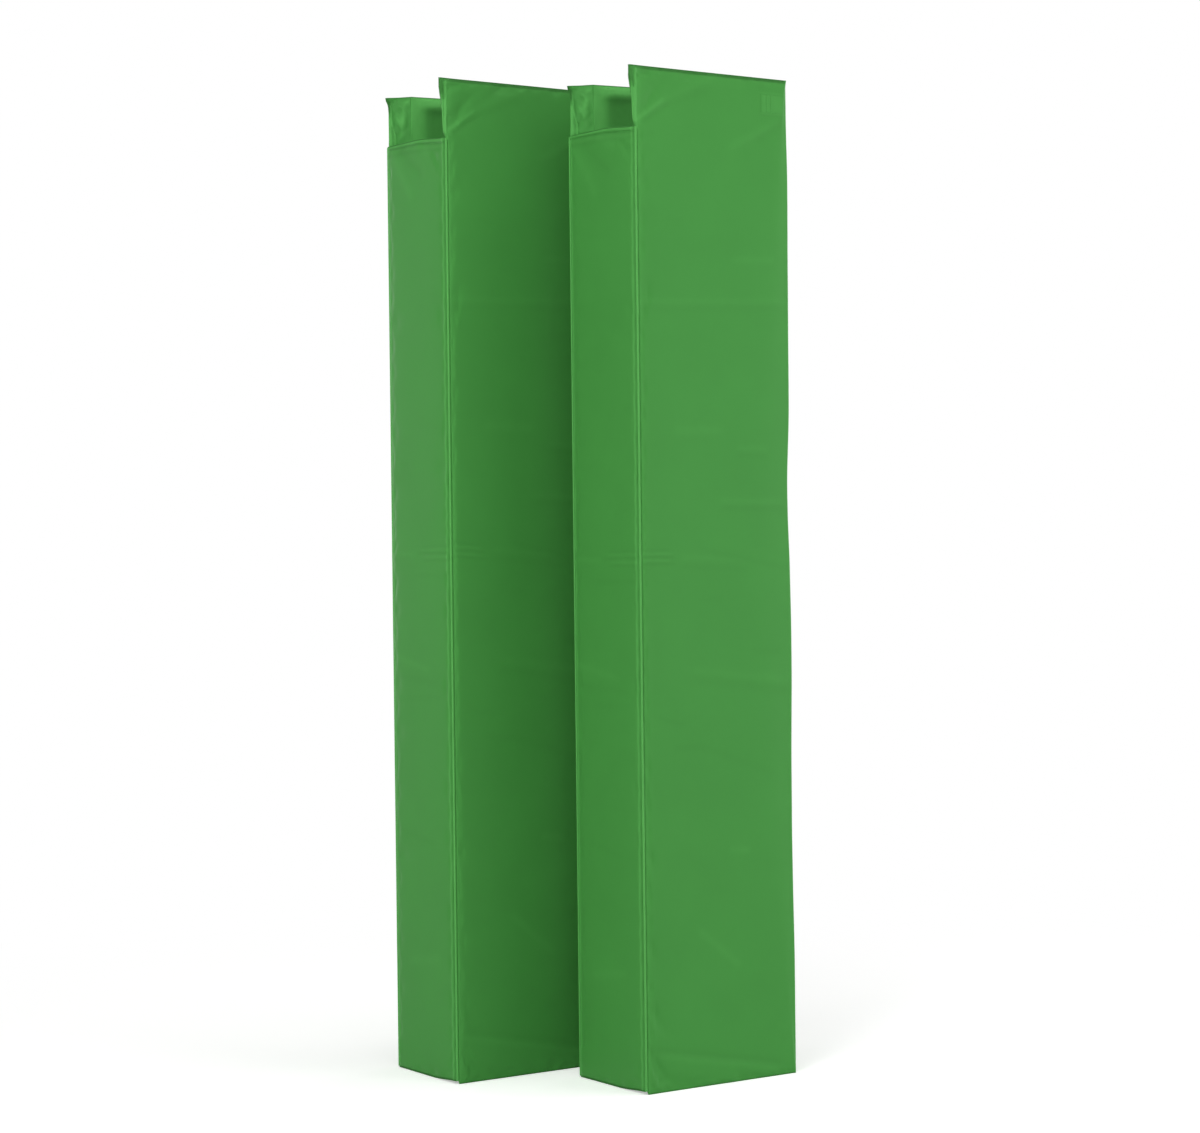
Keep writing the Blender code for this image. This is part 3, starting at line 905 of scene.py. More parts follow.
def ridge(values, middle, width):
    """A rounded ridge of height 1, where the values pass its middle."""
    return np.exp(-(((values - middle) / width) ** 2))


def swell(values, start, end):
    """From 0 to 1, quickly at first, as the values go from start to end."""
    return np.sin(np.pi / 2 * slope(values, start, end))


# Features of a cover's surface: the height, or the strength of the painted highlight or shade, the
# face it is on, and what it is shaped by, each a ridge's middle and width or a rise's two ends over
# a measure
FREE_END = (ramp, "below", 0.106, 0.096)
# Along a side's front edge: the soft roll beside the corner and, where the end is free above
# the notch, the groove and the rounded lip of its edge
SIDE_RIDGES = (
    (0.0001, "outer", (ridge, "along", 0.016, 0.006)),
    (-0.0012, "outer", FREE_END, (ramp, "below", 0.006, 0.022), (ridge, "along", -0.0030, 0.0012)),
    (0.0016, "outer", FREE_END, (ramp, "below", 0.003, 0.009), (ridge, "along", 0.0008, 0.0018)),
)
# Where the top strap is sewn in: the box that stands up, and the groove inside its edge
BOX_RIDGES = (
    (0.00055, "outer", (slope, "box", -0.0011, 0.0011)),
    (-0.00030, "outer", (ridge, "box", 0.0025, 0.0011)),
)
# The inside of the wall above the notch: the roll under its top, the slack all over it, and the
# upright fold beside its end
INNER_SLACK = (
    (0.0040, "inner", (ridge, "below", 0.019, 0.0110), (ramp, "along", 0.045, 0.065)),
    (
        0.0042,
        "inner",
        (ramp, "below", 0.112, 0.092),
        (ramp, "below", 0.0, 0.010),
        (swell, "along", 0.038, 0.074),
        (ramp, "along", 0.26, 0.08),
    ),
    (0.0012, "inner", (ridge, "along", 0.0400, 0.0028), (ramp, "below", 0.07, 0.05)),
)
# Where the free slanted end is shaped at all
END_SHAPE = (1.0, "all", FREE_END, (ramp, "slant", 0.0, 0.003), (ramp, "below", 0.0, 0.006))
# Along a front's edges: the soft roll and the groove between it and the corner. Under its top:
# the groove of the sewn crease, and the swelling below that
FRONT_RIDGES = (
    (0.00040, "outer", (ridge, "edge", 0.0110, 0.0028)),
    (-0.00025, "outer", (ridge, "edge", 0.0060, 0.0018)),
    (-0.0009, "outer", (ridge, "crease", 0.0008, 0.0018)),
    (0.0005, "outer", (ridge, "crease", 0.0075, 0.005)),
)
# Where a highlight is painted on a side: along its back corner, in two bands beside its front edge
# where light runs down its rolls, at the top and beside the end of its inner face where light falls
# into the notch, and down its free tip
SIDE_HIGHLIGHT = (
    (0.5, "all", (slope, "back_corner", 0.006, 0.0)),
    (0.9, "outer", (ramp, "below", NOTCH_DEPTH, 0.110), (ramp, "along", 0.0070, 0.0030)),
    (0.25, "outer", (ramp, "along", 0.016, 0.006)),
    (1.0, "inner", (ramp, "below", 0.030, 0.014)),
    (1.0, "inner", (ramp, "along", 0.078, 0.042)),
    (1.0, "tip", (ramp, "below", 0.034, 0.044), (ramp, "below", 0.104, 0.094)),
)
# Where shade is painted on a side: in a line along its top outside and inside, in the middle of the
# inside of the wall above the notch, where the near wall shades it, and at the top of its free tip
SIDE_SHADE = (
    (1.0, "outer", (ramp, "below", 0.0084, 0.0054)),
    (1.0, "inner", (ramp, "below", 0.0040, 0.0024)),
    (
        0.38,
        "inner",
        (ramp, "along", 0.058, 0.070),
        (ramp, "along", 0.155, 0.125),
        (ramp, "below", 0.018, 0.030),
        (ramp, "below", 0.125, 0.095),
    ),
    (0.9, "tip", (ramp, "below", 0.034, 0.024)),
)
# Where a highlight is painted on a front, on its roll, and shade: in its groove, at its foot and
# under its top
FRONT_HIGHLIGHT = ((0.5, "outer", (ridge, "edge", 0.0110, 0.0024)),)
FRONT_SHADE = (
    (0.10, "outer", (ridge, "edge", 0.0060, 0.0018)),
    (1.0, "outer", (ramp, "above", 0.0050, 0.0030)),
    (0.25, "outer", (ramp, "below", 0.030, 0.016)),
)
# How high a fold is where the highlight painted on it is strongest, and how deep where the shade
# painted in it is darkest
HIGHLIGHT_HEIGHT = 0.0022
SHADE_DEPTH = 0.0045
# The sewn crease under a front's top: its depth below the top at each edge, and the swelling
# over it, with how square that is
TOP_CREASE = (0.0092, 0.0058)
CREASE_SWELLING = 0.0013
CREASE_SQUARENESS = 0.8
# How the edges of the faces turn in at their ends: from how far off, and how deep
OUTER_TOP_TURN = (0.0065, 0.0042)
INNER_TOP_TURN = (0.0035, 0.0020)
SIDE_FOOT_TURN = (0.0040, 0.0016)
FRONT_FOOT_TURN = (0.0030, 0.0014)
TIP_FOOT_TUCK = (0.0060, 0.0042)
# The top turns in less at the thin tip: from nothing there to all of it along the side, but
# never less than the least share
TIP_THINNING = (-0.010, 0.020)
THIN_TOP_TURN = 0.15
# How far the front tip of each side stands out above the notch, at distances below the top
NEAR_TIP = (
    (0.0, 0.0165),
    (0.018, 0.0165),
    (0.028, 0.0139),
    (0.039, 0.0109),
    (0.052, 0.0100),
    (0.070, 0.0097),
    (0.084, 0.0092),
    (0.098, 0.0080),
    (0.106, 0.0046),
    (0.114, 0.0),
)
FAR_TIP = (
    (0.0, 0.0066),
    (0.004, 0.0062),
    (0.010, 0.0030),
    (0.018, 0.0008),
    (0.030, 0.0),
)
TIP_SOFTENING = 0.002
# How near the sharp corner the tip moves whole, and over how much more that fades out
TIP_WHOLE = 0.0025
TIP_REACH = 0.0150
# The flare of a side's back top corner: how far out, and how far down and round it goes
BACK_FLARE = (0.0030, 0.016, 0.012)
# How much of the tip's move a point has where it is in the tip itself
TIP_CORE = (0.9, 1.0)
# The low and the high corner of the box in which the top strap is sewn in, along and up
STITCHED_BOX = (0.276, 1.763, 0.333, 1.801)
skins = {}


def formed(measures, features, joined=np.add):
    """The height, or the painted highlight or shade, that the features give together at each point.
    """
    total = np.zeros_like(measures["along"])
    for strength, face, *shapes in features:
        share = measures[face]
        for shape, measure, first, second in shapes:
            share = share * shape(measures[measure], first, second)
        total = joined(total, strength * share)
    return total


def swollen(panel):
    """A cover's points and outward directions once it has swelled, finer than its grid."""
    away = np.broadcast_to(cover_grids[panel][1], (*blown[panel].shape[:2], 2))
    plain = plain_sleeve(panel)
    low, high = reach_of(panel)
    length = WIDTH if panel == "front" else DEPTH
    across = slope(plain[..., 0], FLAT_MARGIN, length - FLAT_MARGIN)
    up = (plain[..., 2] - low) / (high - low)
    outer_face = np.clip(-away[..., 1], 0, 1) ** 2
    across_square, up_square = CROWN_SQUARENESS
    crown = (1 - (2 * across - 1) ** across_square) * (1 - (2 * up - 1) ** up_square)
    crown = SWELL[panel] * crown * outer_face
    size = np.linalg.norm(blown[panel], axis=-1, keepdims=True) + TINY
    free = INNER_BLOWN_SHARE + (1 - INNER_BLOWN_SHARE) * outer_face[..., None]
    most = MOST_BLOWN[panel] * free
    move = blown[panel] / size * most * np.tanh(size / most)
    inwards = np.minimum((move[..., :2] * away).sum(axis=-1, keepdims=True), 0.0)
    move[..., :2] -= inwards * away
    soft = plain + move * (np.abs(away[..., 1:]) > FLAT_FACING)
    soft[..., :2] += crown[..., None] * away
    soft, away = finer(soft), finer(away)
    return soft, away / np.linalg.norm(away, axis=-1, keepdims=True)


def kept_columns(panel):
    """Which of the finer columns a cover keeps: every one on its outer face and its slants,
    and half of the rest. Also how far each on a side's slant is across it, from its tip."""
    points, _, sides, _ = cover_grids[panel]
    sides = np.repeat(sides, 2**FINER)
    whole = [ON_ARC, OUTER_SIDE, SLANT_SIDE]
    if panel == "front":
        whole.append(FAR_END_SIDE)
    kept = np.isin(sides, whole) | (np.arange(len(sides)) % 2 == 0)
    on_slant = sides == SLANT_SIDE
    place = np.full(len(sides), np.nan)
    if panel != "front":
        slant = finer(np.repeat(points[None], 2, axis=0))[0, on_slant, 1]
        place[on_slant] = (slant - slant.min()) * math.sqrt(2)
    return kept, place[kept]


def flared(panel, u, v, below, above):
    """Where a side's points are along it once its front tip stands out above the notch and
    tucks in at the foot, and its back top corner flares. Also how far each is in the tip."""
    tip = COVER_RADII[panel][0]
    tip_u = SLANT_SHIFT + tip * (1 + math.sqrt(2))
    near = ramp(np.hypot(u - tip_u, v - tip), TIP_WHOLE + TIP_REACH, TIP_WHOLE)
    u = u + near * turned_in(above, TIP_FOOT_TUCK)
    line = NEAR_TIP if panel == "near_side" else FAR_TIP
    u = u - near * along_line(line, below, TIP_SOFTENING)
    out, down, round_it = BACK_FLARE
    corner = slope(np.hypot(u - DEPTH, v), round_it, 0)
    return u + out * slope(below, down, 0) ** 2 * corner, near


def side_relief(pad, panel, measures):
    """How far a side cover stands out from its plain shape, along its outward direction, and the
    part of that from which highlight and shade are painted."""
    u, z, below = measures["along"], measures["up"], measures["below"]
    outer, inner = measures["outer"], measures["inner"]
    shift = SIDE_FOLD_SHIFT[pad] + (FAR_FOLD_SHIFT if panel == "far_side" else 0.0)
    strength = SHIFTED_FOLD_DEPTH if shift else 1.0
    seed = PADS.index(pad) * SEED_STEP + PANELS.index(panel)
    folds = sum(fold(u, z, *pull) for pull in CORNER_PULLS)
    for start_u, start_z, end_u, end_z, height, width in SIDE_FOLDS:
        places = (start_u, start_z + shift, end_u, end_z + shift * FOLD_END_SHARE)
        folds += fold(u, z, *places, strength * height, width)
    marked = outer * folds + formed(measures, SIDE_RIDGES)
    if panel == "near_side":
        marked += formed(measures, BOX_RIDGES)
    lift = marked + outer * waves(u, z, seed, SIDE_WAVES)
    lift += inner * waves(u, z, seed, INNER_WAVES) + formed(measures, INNER_SLACK)

    place = measures["slant"]
    relief = sum(fold(place, below, *end_fold) for end_fold in END_FOLDS)
    for across, down, height, wide, long in END_DENTS:
        relief += height * ridge(place, across, wide) * ridge(below, down, long)
    relief += waves(place, below, seed, END_WAVES)
    relief *= formed(measures, [END_SHAPE])
    # On the free end, a painted highlight follows the swellings and painted shade the dents
    painted_light = relief * np.where(relief > 0, *END_PAINTED_LIGHT)
    lift = np.where(measures["on_slant"], relief, lift)
    marked = np.where(measures["on_slant"], painted_light, marked)

    thick = np.maximum(slope(u, *TIP_THINNING), THIN_TOP_TURN)
    lift -= outer * thick * turned_in(below, OUTER_TOP_TURN)
    lift -= inner * turned_in(below, INNER_TOP_TURN)
    lift -= outer * turned_in(measures["above"], SIDE_FOOT_TURN)
    return lift, marked


def crease_depth(u):
    """How far below a front's top its sewn crease runs."""
    return np.interp(u, (0.0, WIDTH), TOP_CREASE)


def front_relief(pad, measures):
    """How far a front cover stands out from its plain shape, along its outward direction, and the
    part of that from which highlight and shade are painted."""
    u, z, outer = measures["along"], measures["up"], measures["outer"]
    shift = FRONT_FOLD_SHIFT[pad]
    seed = PADS.index(pad) * SEED_STEP + FRONT_SEED
    folds = np.zeros_like(u)
    for start_u, start_z, end_u, end_z, height, width in FRONT_FOLDS:
        folds += fold(u, z, start_u, start_z + shift, end_u, end_z + shift, height, width)
    over_crease = slope(measures["below"], 0.0, crease_depth(u))
    folds += CREASE_SWELLING * np.sin(np.pi * over_crease) ** CREASE_SQUARENESS
    marked = outer * folds + formed(measures, FRONT_RIDGES)
    lift = marked + outer * waves(u, z, seed, FRONT_WAVES)
    return lift - outer * turned_in(measures["above"], FRONT_FOOT_TURN), marked


def mark(obj, label, values):
    """A value at each point of the object's mesh, for its finish to read."""
    points = np.zeros(len(obj.data.vertices), np.float32)
    points[: len(values)] = values
    obj.data.attributes.new(label, "FLOAT", "POINT").data.foreach_set("value", points)


def cover_mesh(name, outer):
    """A closed vinyl wall from the outer points, a grid of rows up and columns round. Its
    inside is a plainer wall, a quarter as fine, joined to the outer one at both ends."""
    rows, columns = outer.shape[:2]
    step_round = np.arange(0, columns, WALL_STEP)
    step_up = np.append(np.arange(0, rows - 1, WALL_STEP), rows - 1)
    tangent_round = np.roll(outer, -1, axis=1) - np.roll(outer, 1, axis=1)
    normal = np.cross(tangent_round, np.gradient(outer, axis=0))
    normal /= np.linalg.norm(normal, axis=-1, keepdims=True)
    if ((outer - outer.mean(axis=1, keepdims=True)) * normal).sum() < 0:
        normal = -normal
    inner = (outer - COVER_WALL * normal)[np.ix_(step_up, step_round)]
    inner_rows, inner_columns = inner.shape[:2]
    base = rows * columns
    faces = tube_faces(rows, columns)
    faces += [[base + k for k in reversed(face)] for face in tube_faces(inner_rows, inner_columns)]
    for row, inner_row in ((0, 0), (rows - 1, inner_rows - 1)):
        for place in range(inner_columns):
            first = WALL_STEP * place
            last = columns if place == inner_columns - 1 else first + WALL_STEP
            ring = [row * columns + k % columns for k in range(first, last + 1)]
            pairs = list(zip(ring, ring[1:]))
            middle = len(ring) // 2
            here = base + inner_row * inner_columns + place
            beside = base + inner_row * inner_columns + (place + 1) % inner_columns
            faces += [(after, before, here) for before, after in pairs[:middle]]
            faces.append((ring[middle], here, beside))
            faces += [(after, before, beside) for before, after in pairs[middle:]]
    points = np.concatenate([outer.reshape(-1, 3), inner.reshape(-1, 3)])
    return new_piece(name, points, faces, green_vinyl)


def cover(pad, panel):
    """Makes the cover of one panel, and keeps its skin for the pieces that lie on it."""
    soft, away = swollen(panel)
    kept, slant = kept_columns(panel)
    soft, away = soft[:, kept], away[:, kept]
    u, v, z = soft[..., 0], soft[..., 1], soft[..., 2]
    low, high = reach_of(panel)
    below, above = high - z, z - low
    tip = 0.0
    if panel != "front":
        u, tip = flared(panel, u, v, below, above)
    low_u, low_z, high_u, high_z = STITCHED_BOX
    measures = {
        "all": 1.0,
        "outer": np.clip(-away[..., 1], 0, 1) ** 2,
        "inner": np.clip(away[..., 1], 0, 1) ** 2 * (away[..., 0] > SLANT_FACING),
        "tip": ramp(tip, *TIP_CORE),
        "along": u,
        "up": z,
        "below": below,
        "above": above,
        "edge": np.minimum(u, WIDTH - u),
        "back_corner": np.hypot(u - DEPTH, v),
        "box": np.minimum(np.minimum(u - low_u, high_u - u), np.minimum(z - low_z, high_z - z)),
        "crease": below - crease_depth(u),
        "on_slant": np.isfinite(slant),
        "slant": np.broadcast_to(np.nan_to_num(slant), u.shape),
    }
    if panel == "front":
        lift, marked = front_relief(pad, measures)
        painted_highlight = formed(measures, FRONT_HIGHLIGHT)
        painted_shade = formed(measures, FRONT_SHADE)
    else:
        lift, marked = side_relief(pad, panel, measures)
        painted_highlight = formed(measures, SIDE_HIGHLIGHT)
        painted_shade = formed(measures, SIDE_SHADE, np.maximum)
    # Painted highlight on the crests of folds and painted shade in their dents, added to the listed
    # bands
    painted_highlight = np.clip(painted_highlight + np.clip(marked, 0, None) / HIGHLIGHT_HEIGHT, 0, 1)
    painted_shade = np.clip(painted_shade + np.clip(-marked, 0, None) / SHADE_DEPTH, 0, 1)
    u, v = u + lift * away[..., 0], v + lift * away[..., 1]
    u = u + drawn_in(pad, panel, u, z)
    z = z - sagged(panel, u, below, above)
    skins[pad, panel] = (u, v, z, away)
    sleeve = cover_mesh(f"{pad}_{panel}_sleeve", in_world(pad, panel, u, v, z))
    mark(sleeve, "painted_highlight", painted_highlight.ravel())
    mark(sleeve, "painted_shade", painted_shade.ravel())
    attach(sleeve, body_of(pad, panel))
    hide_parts(f"{pad}_{panel}_cover")


for pad in PADS:
    for panel in PANELS:
        cover(pad, panel)

# The ends of the covers: a strip of the same vinyl closes each end of a sleeve. It is sewn
# round its edge, so the edge stands as a thin rounded lip and the middle puffs a little.

# Each row of the lip: how far in from the sleeve's face it is, how far past the sleeve's end, and
# how much shade is painted on it
END_LIP = (
    (0.0016, 0.00006, 0.8),
    (0.0002, 0.00008, 0.45),
    (-0.0003, 0.00030, 0.45),
    (-0.0004, 0.00070, 0.45),
    (-0.0001, 0.00110, 0.45),
    (0.0008, 0.00128, 0.45),
    (0.0017, 0.00100, 0.8),
    (0.0025, 0.00060, 0.8),
    (0.0034, 0.00090, 0.45),
)
# Each row of the puffed middle: how far over to the strip's spine, and past the sleeve's end
END_PUFF = ((0.15, 0.00112), (0.35, 0.00125), (0.6, 0.0013), (0.85, 0.0013))
# How far the spine ends short of the middle of a mitred end, and of a square end
SPINE_INSET = 0.004
SQUARE_SPINE_INSET = 0.008


def end_piece(pad, panel, end):
    """Makes the strip that closes one end of a cover."""
    u, v, z, away = skins[pad, panel]
    row, way = (-1, 1) if end == "top" else (0, -1)
    edge_u, edge_v, base = u[row, ::2], v[row, ::2], z[row, ::2]
    out_u, out_v = away[row, ::2].T
    middle = THICKNESS / 2
    farthest = WIDTH - middle - SPINE_INSET if panel == "front" else DEPTH - SQUARE_SPINE_INSET
    spine_u = np.clip(edge_u, middle + SPINE_INSET, farthest)
    rows = []
    for inward, rise, _ in END_LIP:
        lip_u, lip_v = edge_u - inward * out_u, edge_v - inward * out_v
        rows.append(in_world(pad, panel, lip_u, lip_v, base + way * rise))
    for share, rise in END_PUFF:
        puff_u, puff_v = lip_u + (spine_u - lip_u) * share, lip_v + (middle - lip_v) * share
        rows.append(in_world(pad, panel, puff_u, puff_v, base + way * rise))
    faces = shut_tube_faces(len(rows), len(base))
    strip = new_piece(f"{pad}_{panel}_{end}_end", rows, faces, green_vinyl)
    # Painted shade along the rows of the lip
    painted_shade = [painted_darkening for _, _, painted_darkening in END_LIP] + [0.0] * len(END_PUFF)
    mark(strip, "painted_shade", np.repeat(painted_shade, len(base)))
    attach(strip, body_of(pad, panel))
    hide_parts(f"{pad}_{panel}_{end}_cap")


for pad in PADS:
    for panel in PANELS:
        for end in ("top", "bottom"):
            end_piece(pad, panel, end)

# The corner piping: a cord wrapped in a folded strip of vinyl. The cord stands in the corner
# between a side and the front, and the strip's two layers are sewn in between their slants.
BEAD_STEPS = 14
# Where each corner's bead stands, from the corner, its radius, and how far the front's top
# and foot, with the bead, end short of the plain ones there
BEADS = {
    "near": (0.0024, 0.0025, 0.0021, 0.0072, 0.0),
    "far": (0.0026, 0.0026, 0.0021, 0.0, -0.0044),
}
STRIP_THICKNESS = 0.0008
STRIP_END = (0.0124, 0.0124)
PIPING_STEP = 0.006
PIPING_RIPPLE = 0.00012
# The piping's green is paler than the covers' vinyl: a painted highlight for the light along the
# bead
PIPING_GREEN = (0.100, 0.390, 0.088)
PIPING_ROUGHNESS = 0.38
PIPING_HIGHLIGHT = 0.2

green_piping = make_vinyl("green_piping", PIPING_GREEN, PIPING_ROUGHNESS, PIPING_HIGHLIGHT)


def finished(group, geometry, material):
    """Ends a rule: what it made becomes a plain mesh of one material."""
    real = placed(group, "GeometryNodeRealizeInstances", {"Geometry": geometry})
    coated = placed(group, "GeometryNodeSetMaterial", {"Geometry": real, "Material": material})
    placed(group, "NodeGroupOutput", {"Geometry": coated})
    return group


def followed(obj, group, values):
    """The object's mesh as the rule makes it from the one given, with its inputs set."""
    modifier = obj.modifiers.new("rule", "NODES")
    modifier.node_group = group
    for item in group.interface.items_tree:
        if item.in_out == "INPUT" and item.name in values:
            modifier[item.identifier] = values[item.name]
    depsgraph = bpy.context.evaluated_depsgraph_get()
    made = bpy.data.meshes.new_from_object(obj.evaluated_get(depsgraph))
    obj.modifiers.remove(modifier)
    drawn = obj.data
    obj.data = made
    made.name = obj.name
    bpy.data.meshes.remove(drawn)
    return obj


def chained(start, count):
    """The edges that join points in turn, from the point of that number."""
    return [(k, k + 1) for k in range(start, start + count - 1)]


def make_piped_seam():
    """Rule: the piping's section drawn up from Low to High, with a slight ripple."""
    group, given = new_group(
        "GeometryNodeTree",
        "piped_seam",
        [("Low", 0.0), ("High", 1.0), ("Step", 0.006), ("Ripple", 0.0001), ("Ripple Size", 30.0)],
    )
    outline = placed(group, "GeometryNodeMeshToCurve", {"Mesh": given["Geometry"]})
    foot = placed(group, "ShaderNodeCombineXYZ", {"Z": given["Low"]})
    head = placed(group, "ShaderNodeCombineXYZ", {"Z": given["High"]})
    line = placed(group, "GeometryNodeCurvePrimitiveLine", {"Start": foot, "End": head})
    steps = placed(
        group, "GeometryNodeResampleCurve", {"Curve": line, "Length": given["Step"]}, mode="LENGTH"
    )
    drawn = placed(
        group,
        "GeometryNodeCurveToMesh",
        {"Curve": steps, "Profile Curve": outline, "Fill Caps": True},
    )
    place = placed(group, "GeometryNodeInputPosition")
    noise = placed(
        group,
        "ShaderNodeTexNoise",
        {"Vector": place, "Scale": given["Ripple Size"], "Detail": 1.0},
    )
    centred = placed(
        group,
        "ShaderNodeVectorMath",
        {0: noise.outputs["Color"], 1: (0.5, 0.5, 0.5)},
        operation="SUBTRACT",
    )
    spread = placed(group, "ShaderNodeCombineXYZ", {"X": given["Ripple"], "Y": given["Ripple"]})
    sized = placed(group, "ShaderNodeVectorMath", {0: centred, 1: spread}, operation="MULTIPLY")
    moved = placed(group, "GeometryNodeSetPosition", {"Geometry": drawn, "Offset": sized})
    smooth = placed(group, "GeometryNodeSetShadeSmooth", {"Geometry": moved})
    return finished(group, smooth, green_piping)


piped_seam = make_piped_seam()


def piping(pad, side):
    """Makes the piping of one corner."""
    bead_u, bead_v, radius, top_short, foot_short = BEADS[side]
    half = STRIP_THICKNESS / 2
    start = math.asin(half / radius)
    angles = np.linspace(start, 2 * math.pi - start, BEAD_STEPS + 1)
    deep = math.hypot(STRIP_END[0] - bead_u, STRIP_END[1] - bead_v)
    slant = math.atan2(STRIP_END[1] - bead_v, STRIP_END[0] - bead_u)
    along = np.append(radius * np.cos(angles), [deep, deep])
    across = np.append(radius * np.sin(angles), [-half, half])
    u = bead_u + along * math.cos(slant) - across * math.sin(slant)
    v = bead_v + along * math.sin(slant) + across * math.cos(slant)
    outline = in_world(pad, f"{side}_side", u, v, 0.0)
    edges = chained(0, len(outline)) + [(len(outline) - 1, 0)]
    cord = new_object(f"{pad}_{side}_corner_piping", outline, edges)
    low, high = reach_of("front", END_INSET)
    values = {
        "Low": low + foot_short,
        "High": high - top_short,
        "Step": PIPING_STEP,
        "Ripple": PIPING_RIPPLE,
    }
    followed(cord, piped_seam, values)
    outward(cord)
    cord.data.set_sharp_from_angle(angle=SHARP_EDGE)
    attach(cord, f"{pad}_front_panel")
    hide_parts(f"{pad}_{side}_corner_welt")


for pad in PADS:
    for side in ("near", "far"):
        piping(pad, side)

# The stitching on each near side, where the top strap is sewn through the cover: green
# thread in a rectangle near the back edge, with two more upright lines inside it.
BOX_STITCH = {"Pitch": 0.0042, "Length": 0.0030, "Width": 0.00065}
BOX_LINES = (
    ((0.2785, 1.7655), (0.3300, 1.7655)),
    ((0.2785, 1.7985), (0.3300, 1.7985)),
    ((0.2785, 1.7680), (0.2785, 1.7960)),
    ((0.3300, 1.7680), (0.3300, 1.7960)),
    ((0.2905, 1.7680), (0.2905, 1.7960)),
    ((0.3005, 1.7680), (0.3005, 1.7960)),
)
BOX_LINE_STEPS = 8
# How much of its width a thread stands off the vinyl that it pulls into
THREAD_STAND = 0.25
THREAD_GREEN = (0.040, 0.230, 0.034, 1)
THREAD_ROUGHNESS = 0.6

green_thread, tree = new_finish("green_thread")
shader = tree.nodes["Principled BSDF"]
shader.inputs["Base Color"].default_value = THREAD_GREEN
shader.inputs["Roughness"].default_value = THREAD_ROUGHNESS
shader.inputs["Specular IOR Level"].default_value = DRY_GLOSS


def make_row_of_stitches(name, material):
    """Rule: a stitch lying along each line at every Pitch, of Length and Width."""
    inputs = [("Pitch", 0.004), ("Length", 0.003), ("Width", 0.0006)]
    group, given = new_group("GeometryNodeTree", name, inputs)
    lines = placed(group, "GeometryNodeMeshToCurve", {"Mesh": given["Geometry"]})
    points = placed(
        group, "GeometryNodeCurveToPoints", {"Curve": lines, "Length": given["Pitch"]}, mode="LENGTH"
    ).outputs
    shape = {"Segments": 6, "Rings": 5, "Radius": 0.5}
    stitch = placed(group, "GeometryNodeMeshUVSphere", shape)
    smooth = placed(group, "GeometryNodeSetShadeSmooth", {"Geometry": stitch})
    size = placed(
        group,
        "ShaderNodeCombineXYZ",
        {"X": given["Width"], "Y": given["Width"], "Z": given["Length"]},
    )
    laid = placed(
        group,
        "GeometryNodeInstanceOnPoints",
        {
            "Points": points["Points"],
            "Instance": smooth,
            "Rotation": points["Rotation"],
            "Scale": size,
        },
    )
    return finished(group, laid, material)


green_stitches = make_row_of_stitches("green_stitches", green_thread)


def stitched(name, lines, steps, place, rule, values):
    """Rows of stitches by a rule along straight lines, each bent over what lies under it at
    a number of steps. The place function gives a point from its two distances."""
    points, edges = [], []
    for start, end in lines:
        edges += chained(len(points), steps + 1)
        for k in range(steps + 1):
            first = start[0] + (end[0] - start[0]) * k / steps
            second = start[1] + (end[1] - start[1]) * k / steps
            points.append(place(first, second))
    return followed(new_object(name, points, edges), rule, values)


def box_place(pad, u, z):
    """Where the box's thread lies on the near side's skin, from its place along and up it."""
    skin_u, skin_v, skin_z, away = skins[pad, "near_side"]
    off = np.where(away[..., 1] < -FLAT_FACING, (skin_u - u) ** 2 + (skin_z - z) ** 2, np.inf)
    v = skin_v.flat[np.argmin(off)] - THREAD_STAND * BOX_STITCH["Width"]
    return in_world(pad, "near_side", u, v, z)


for pad in PADS:
    rows = stitched(
        f"{pad}_near_side_stitching",
        BOX_LINES,
        BOX_LINE_STEPS,
        partial(box_place, pad),
        green_stitches,
        BOX_STITCH,
    )
    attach(rows, body_of(pad, "near_side"))

# The straps: black webbing sewn to the near side's back edge, with a strip of hooks that
# grips a patch of loops on the far side's back edge, and so closes the pad round its post.
STRAP_HEIGHTS = (1.7813, 1.270867, 0.760433, 0.250)
STRAP_WIDTH = 0.050
WEB_THICKNESS = 0.0015
# Where the webbing starts and ends across the pad, and where and over how much of that it
# rises from the near side's back edge to its place over the tapes
WEB_ROOT = 0.0058
WEB_END = 0.2135
WEB_RISE_START = 0.0302
WEB_RISE_LENGTH = 0.045
WEB_STEP = 0.0022
WEAVE = {"Rib": 0.0022, "Pick": 0.0026}
WEAVE_DEPTH = 0.00018
# The weave's tone in its furrows, how much paler its threads are, and how much smoother
WEAVE_DARKEST = 0.65
WEAVE_CONTRAST = 0.7
WEAVE_POLISH = 0.12
WEB_ROUGHNESS = 0.72
CLOTH_SCALE = 900.0
CLOTH_DEPTH = 0.0001
CLOTH_UNEVENNESS = 0.15
# The webbing's edges: how far in the first row of points is, and how far each face is rounded
WEB_EDGE = 0.0007
WEB_EDGE_ROUND = 0.00035
WEB_COLUMNS = 13
# The thicker selvedge: its height, how far in from the edge it is, its width, its flat top
SELVEDGE = (0.00012, 0.0022, 0.0012)
SELVEDGE_TOP = 0.0001
TAPE_THICKNESS = 0.0012
TAPE_BEVEL = 0.0003
TAPE_MARGIN = 0.003
# How far behind the pad's back edge a hook tape starts, and the gap that keeps what lies on
# that edge from touching it
HOOK_BACK = 0.0023
GAP = 0.0003
# Where each tape starts and ends across the pad, and how wide it is
HOOK_TAPE = (0.1563, 0.2123, 0.044)
LOOP_PATCH = (0.1940, 0.2120, 0.048)
HOOK_PITCH = 0.0020
HOOK_RISE = 0.00034
PILE_PITCH = 0.0015
PILE_RISE = 0.00026
# How far round the thread of a hook and of a loop bends, in degrees
HOOK_SWEEP = 215
LOOP_SWEEP = 180
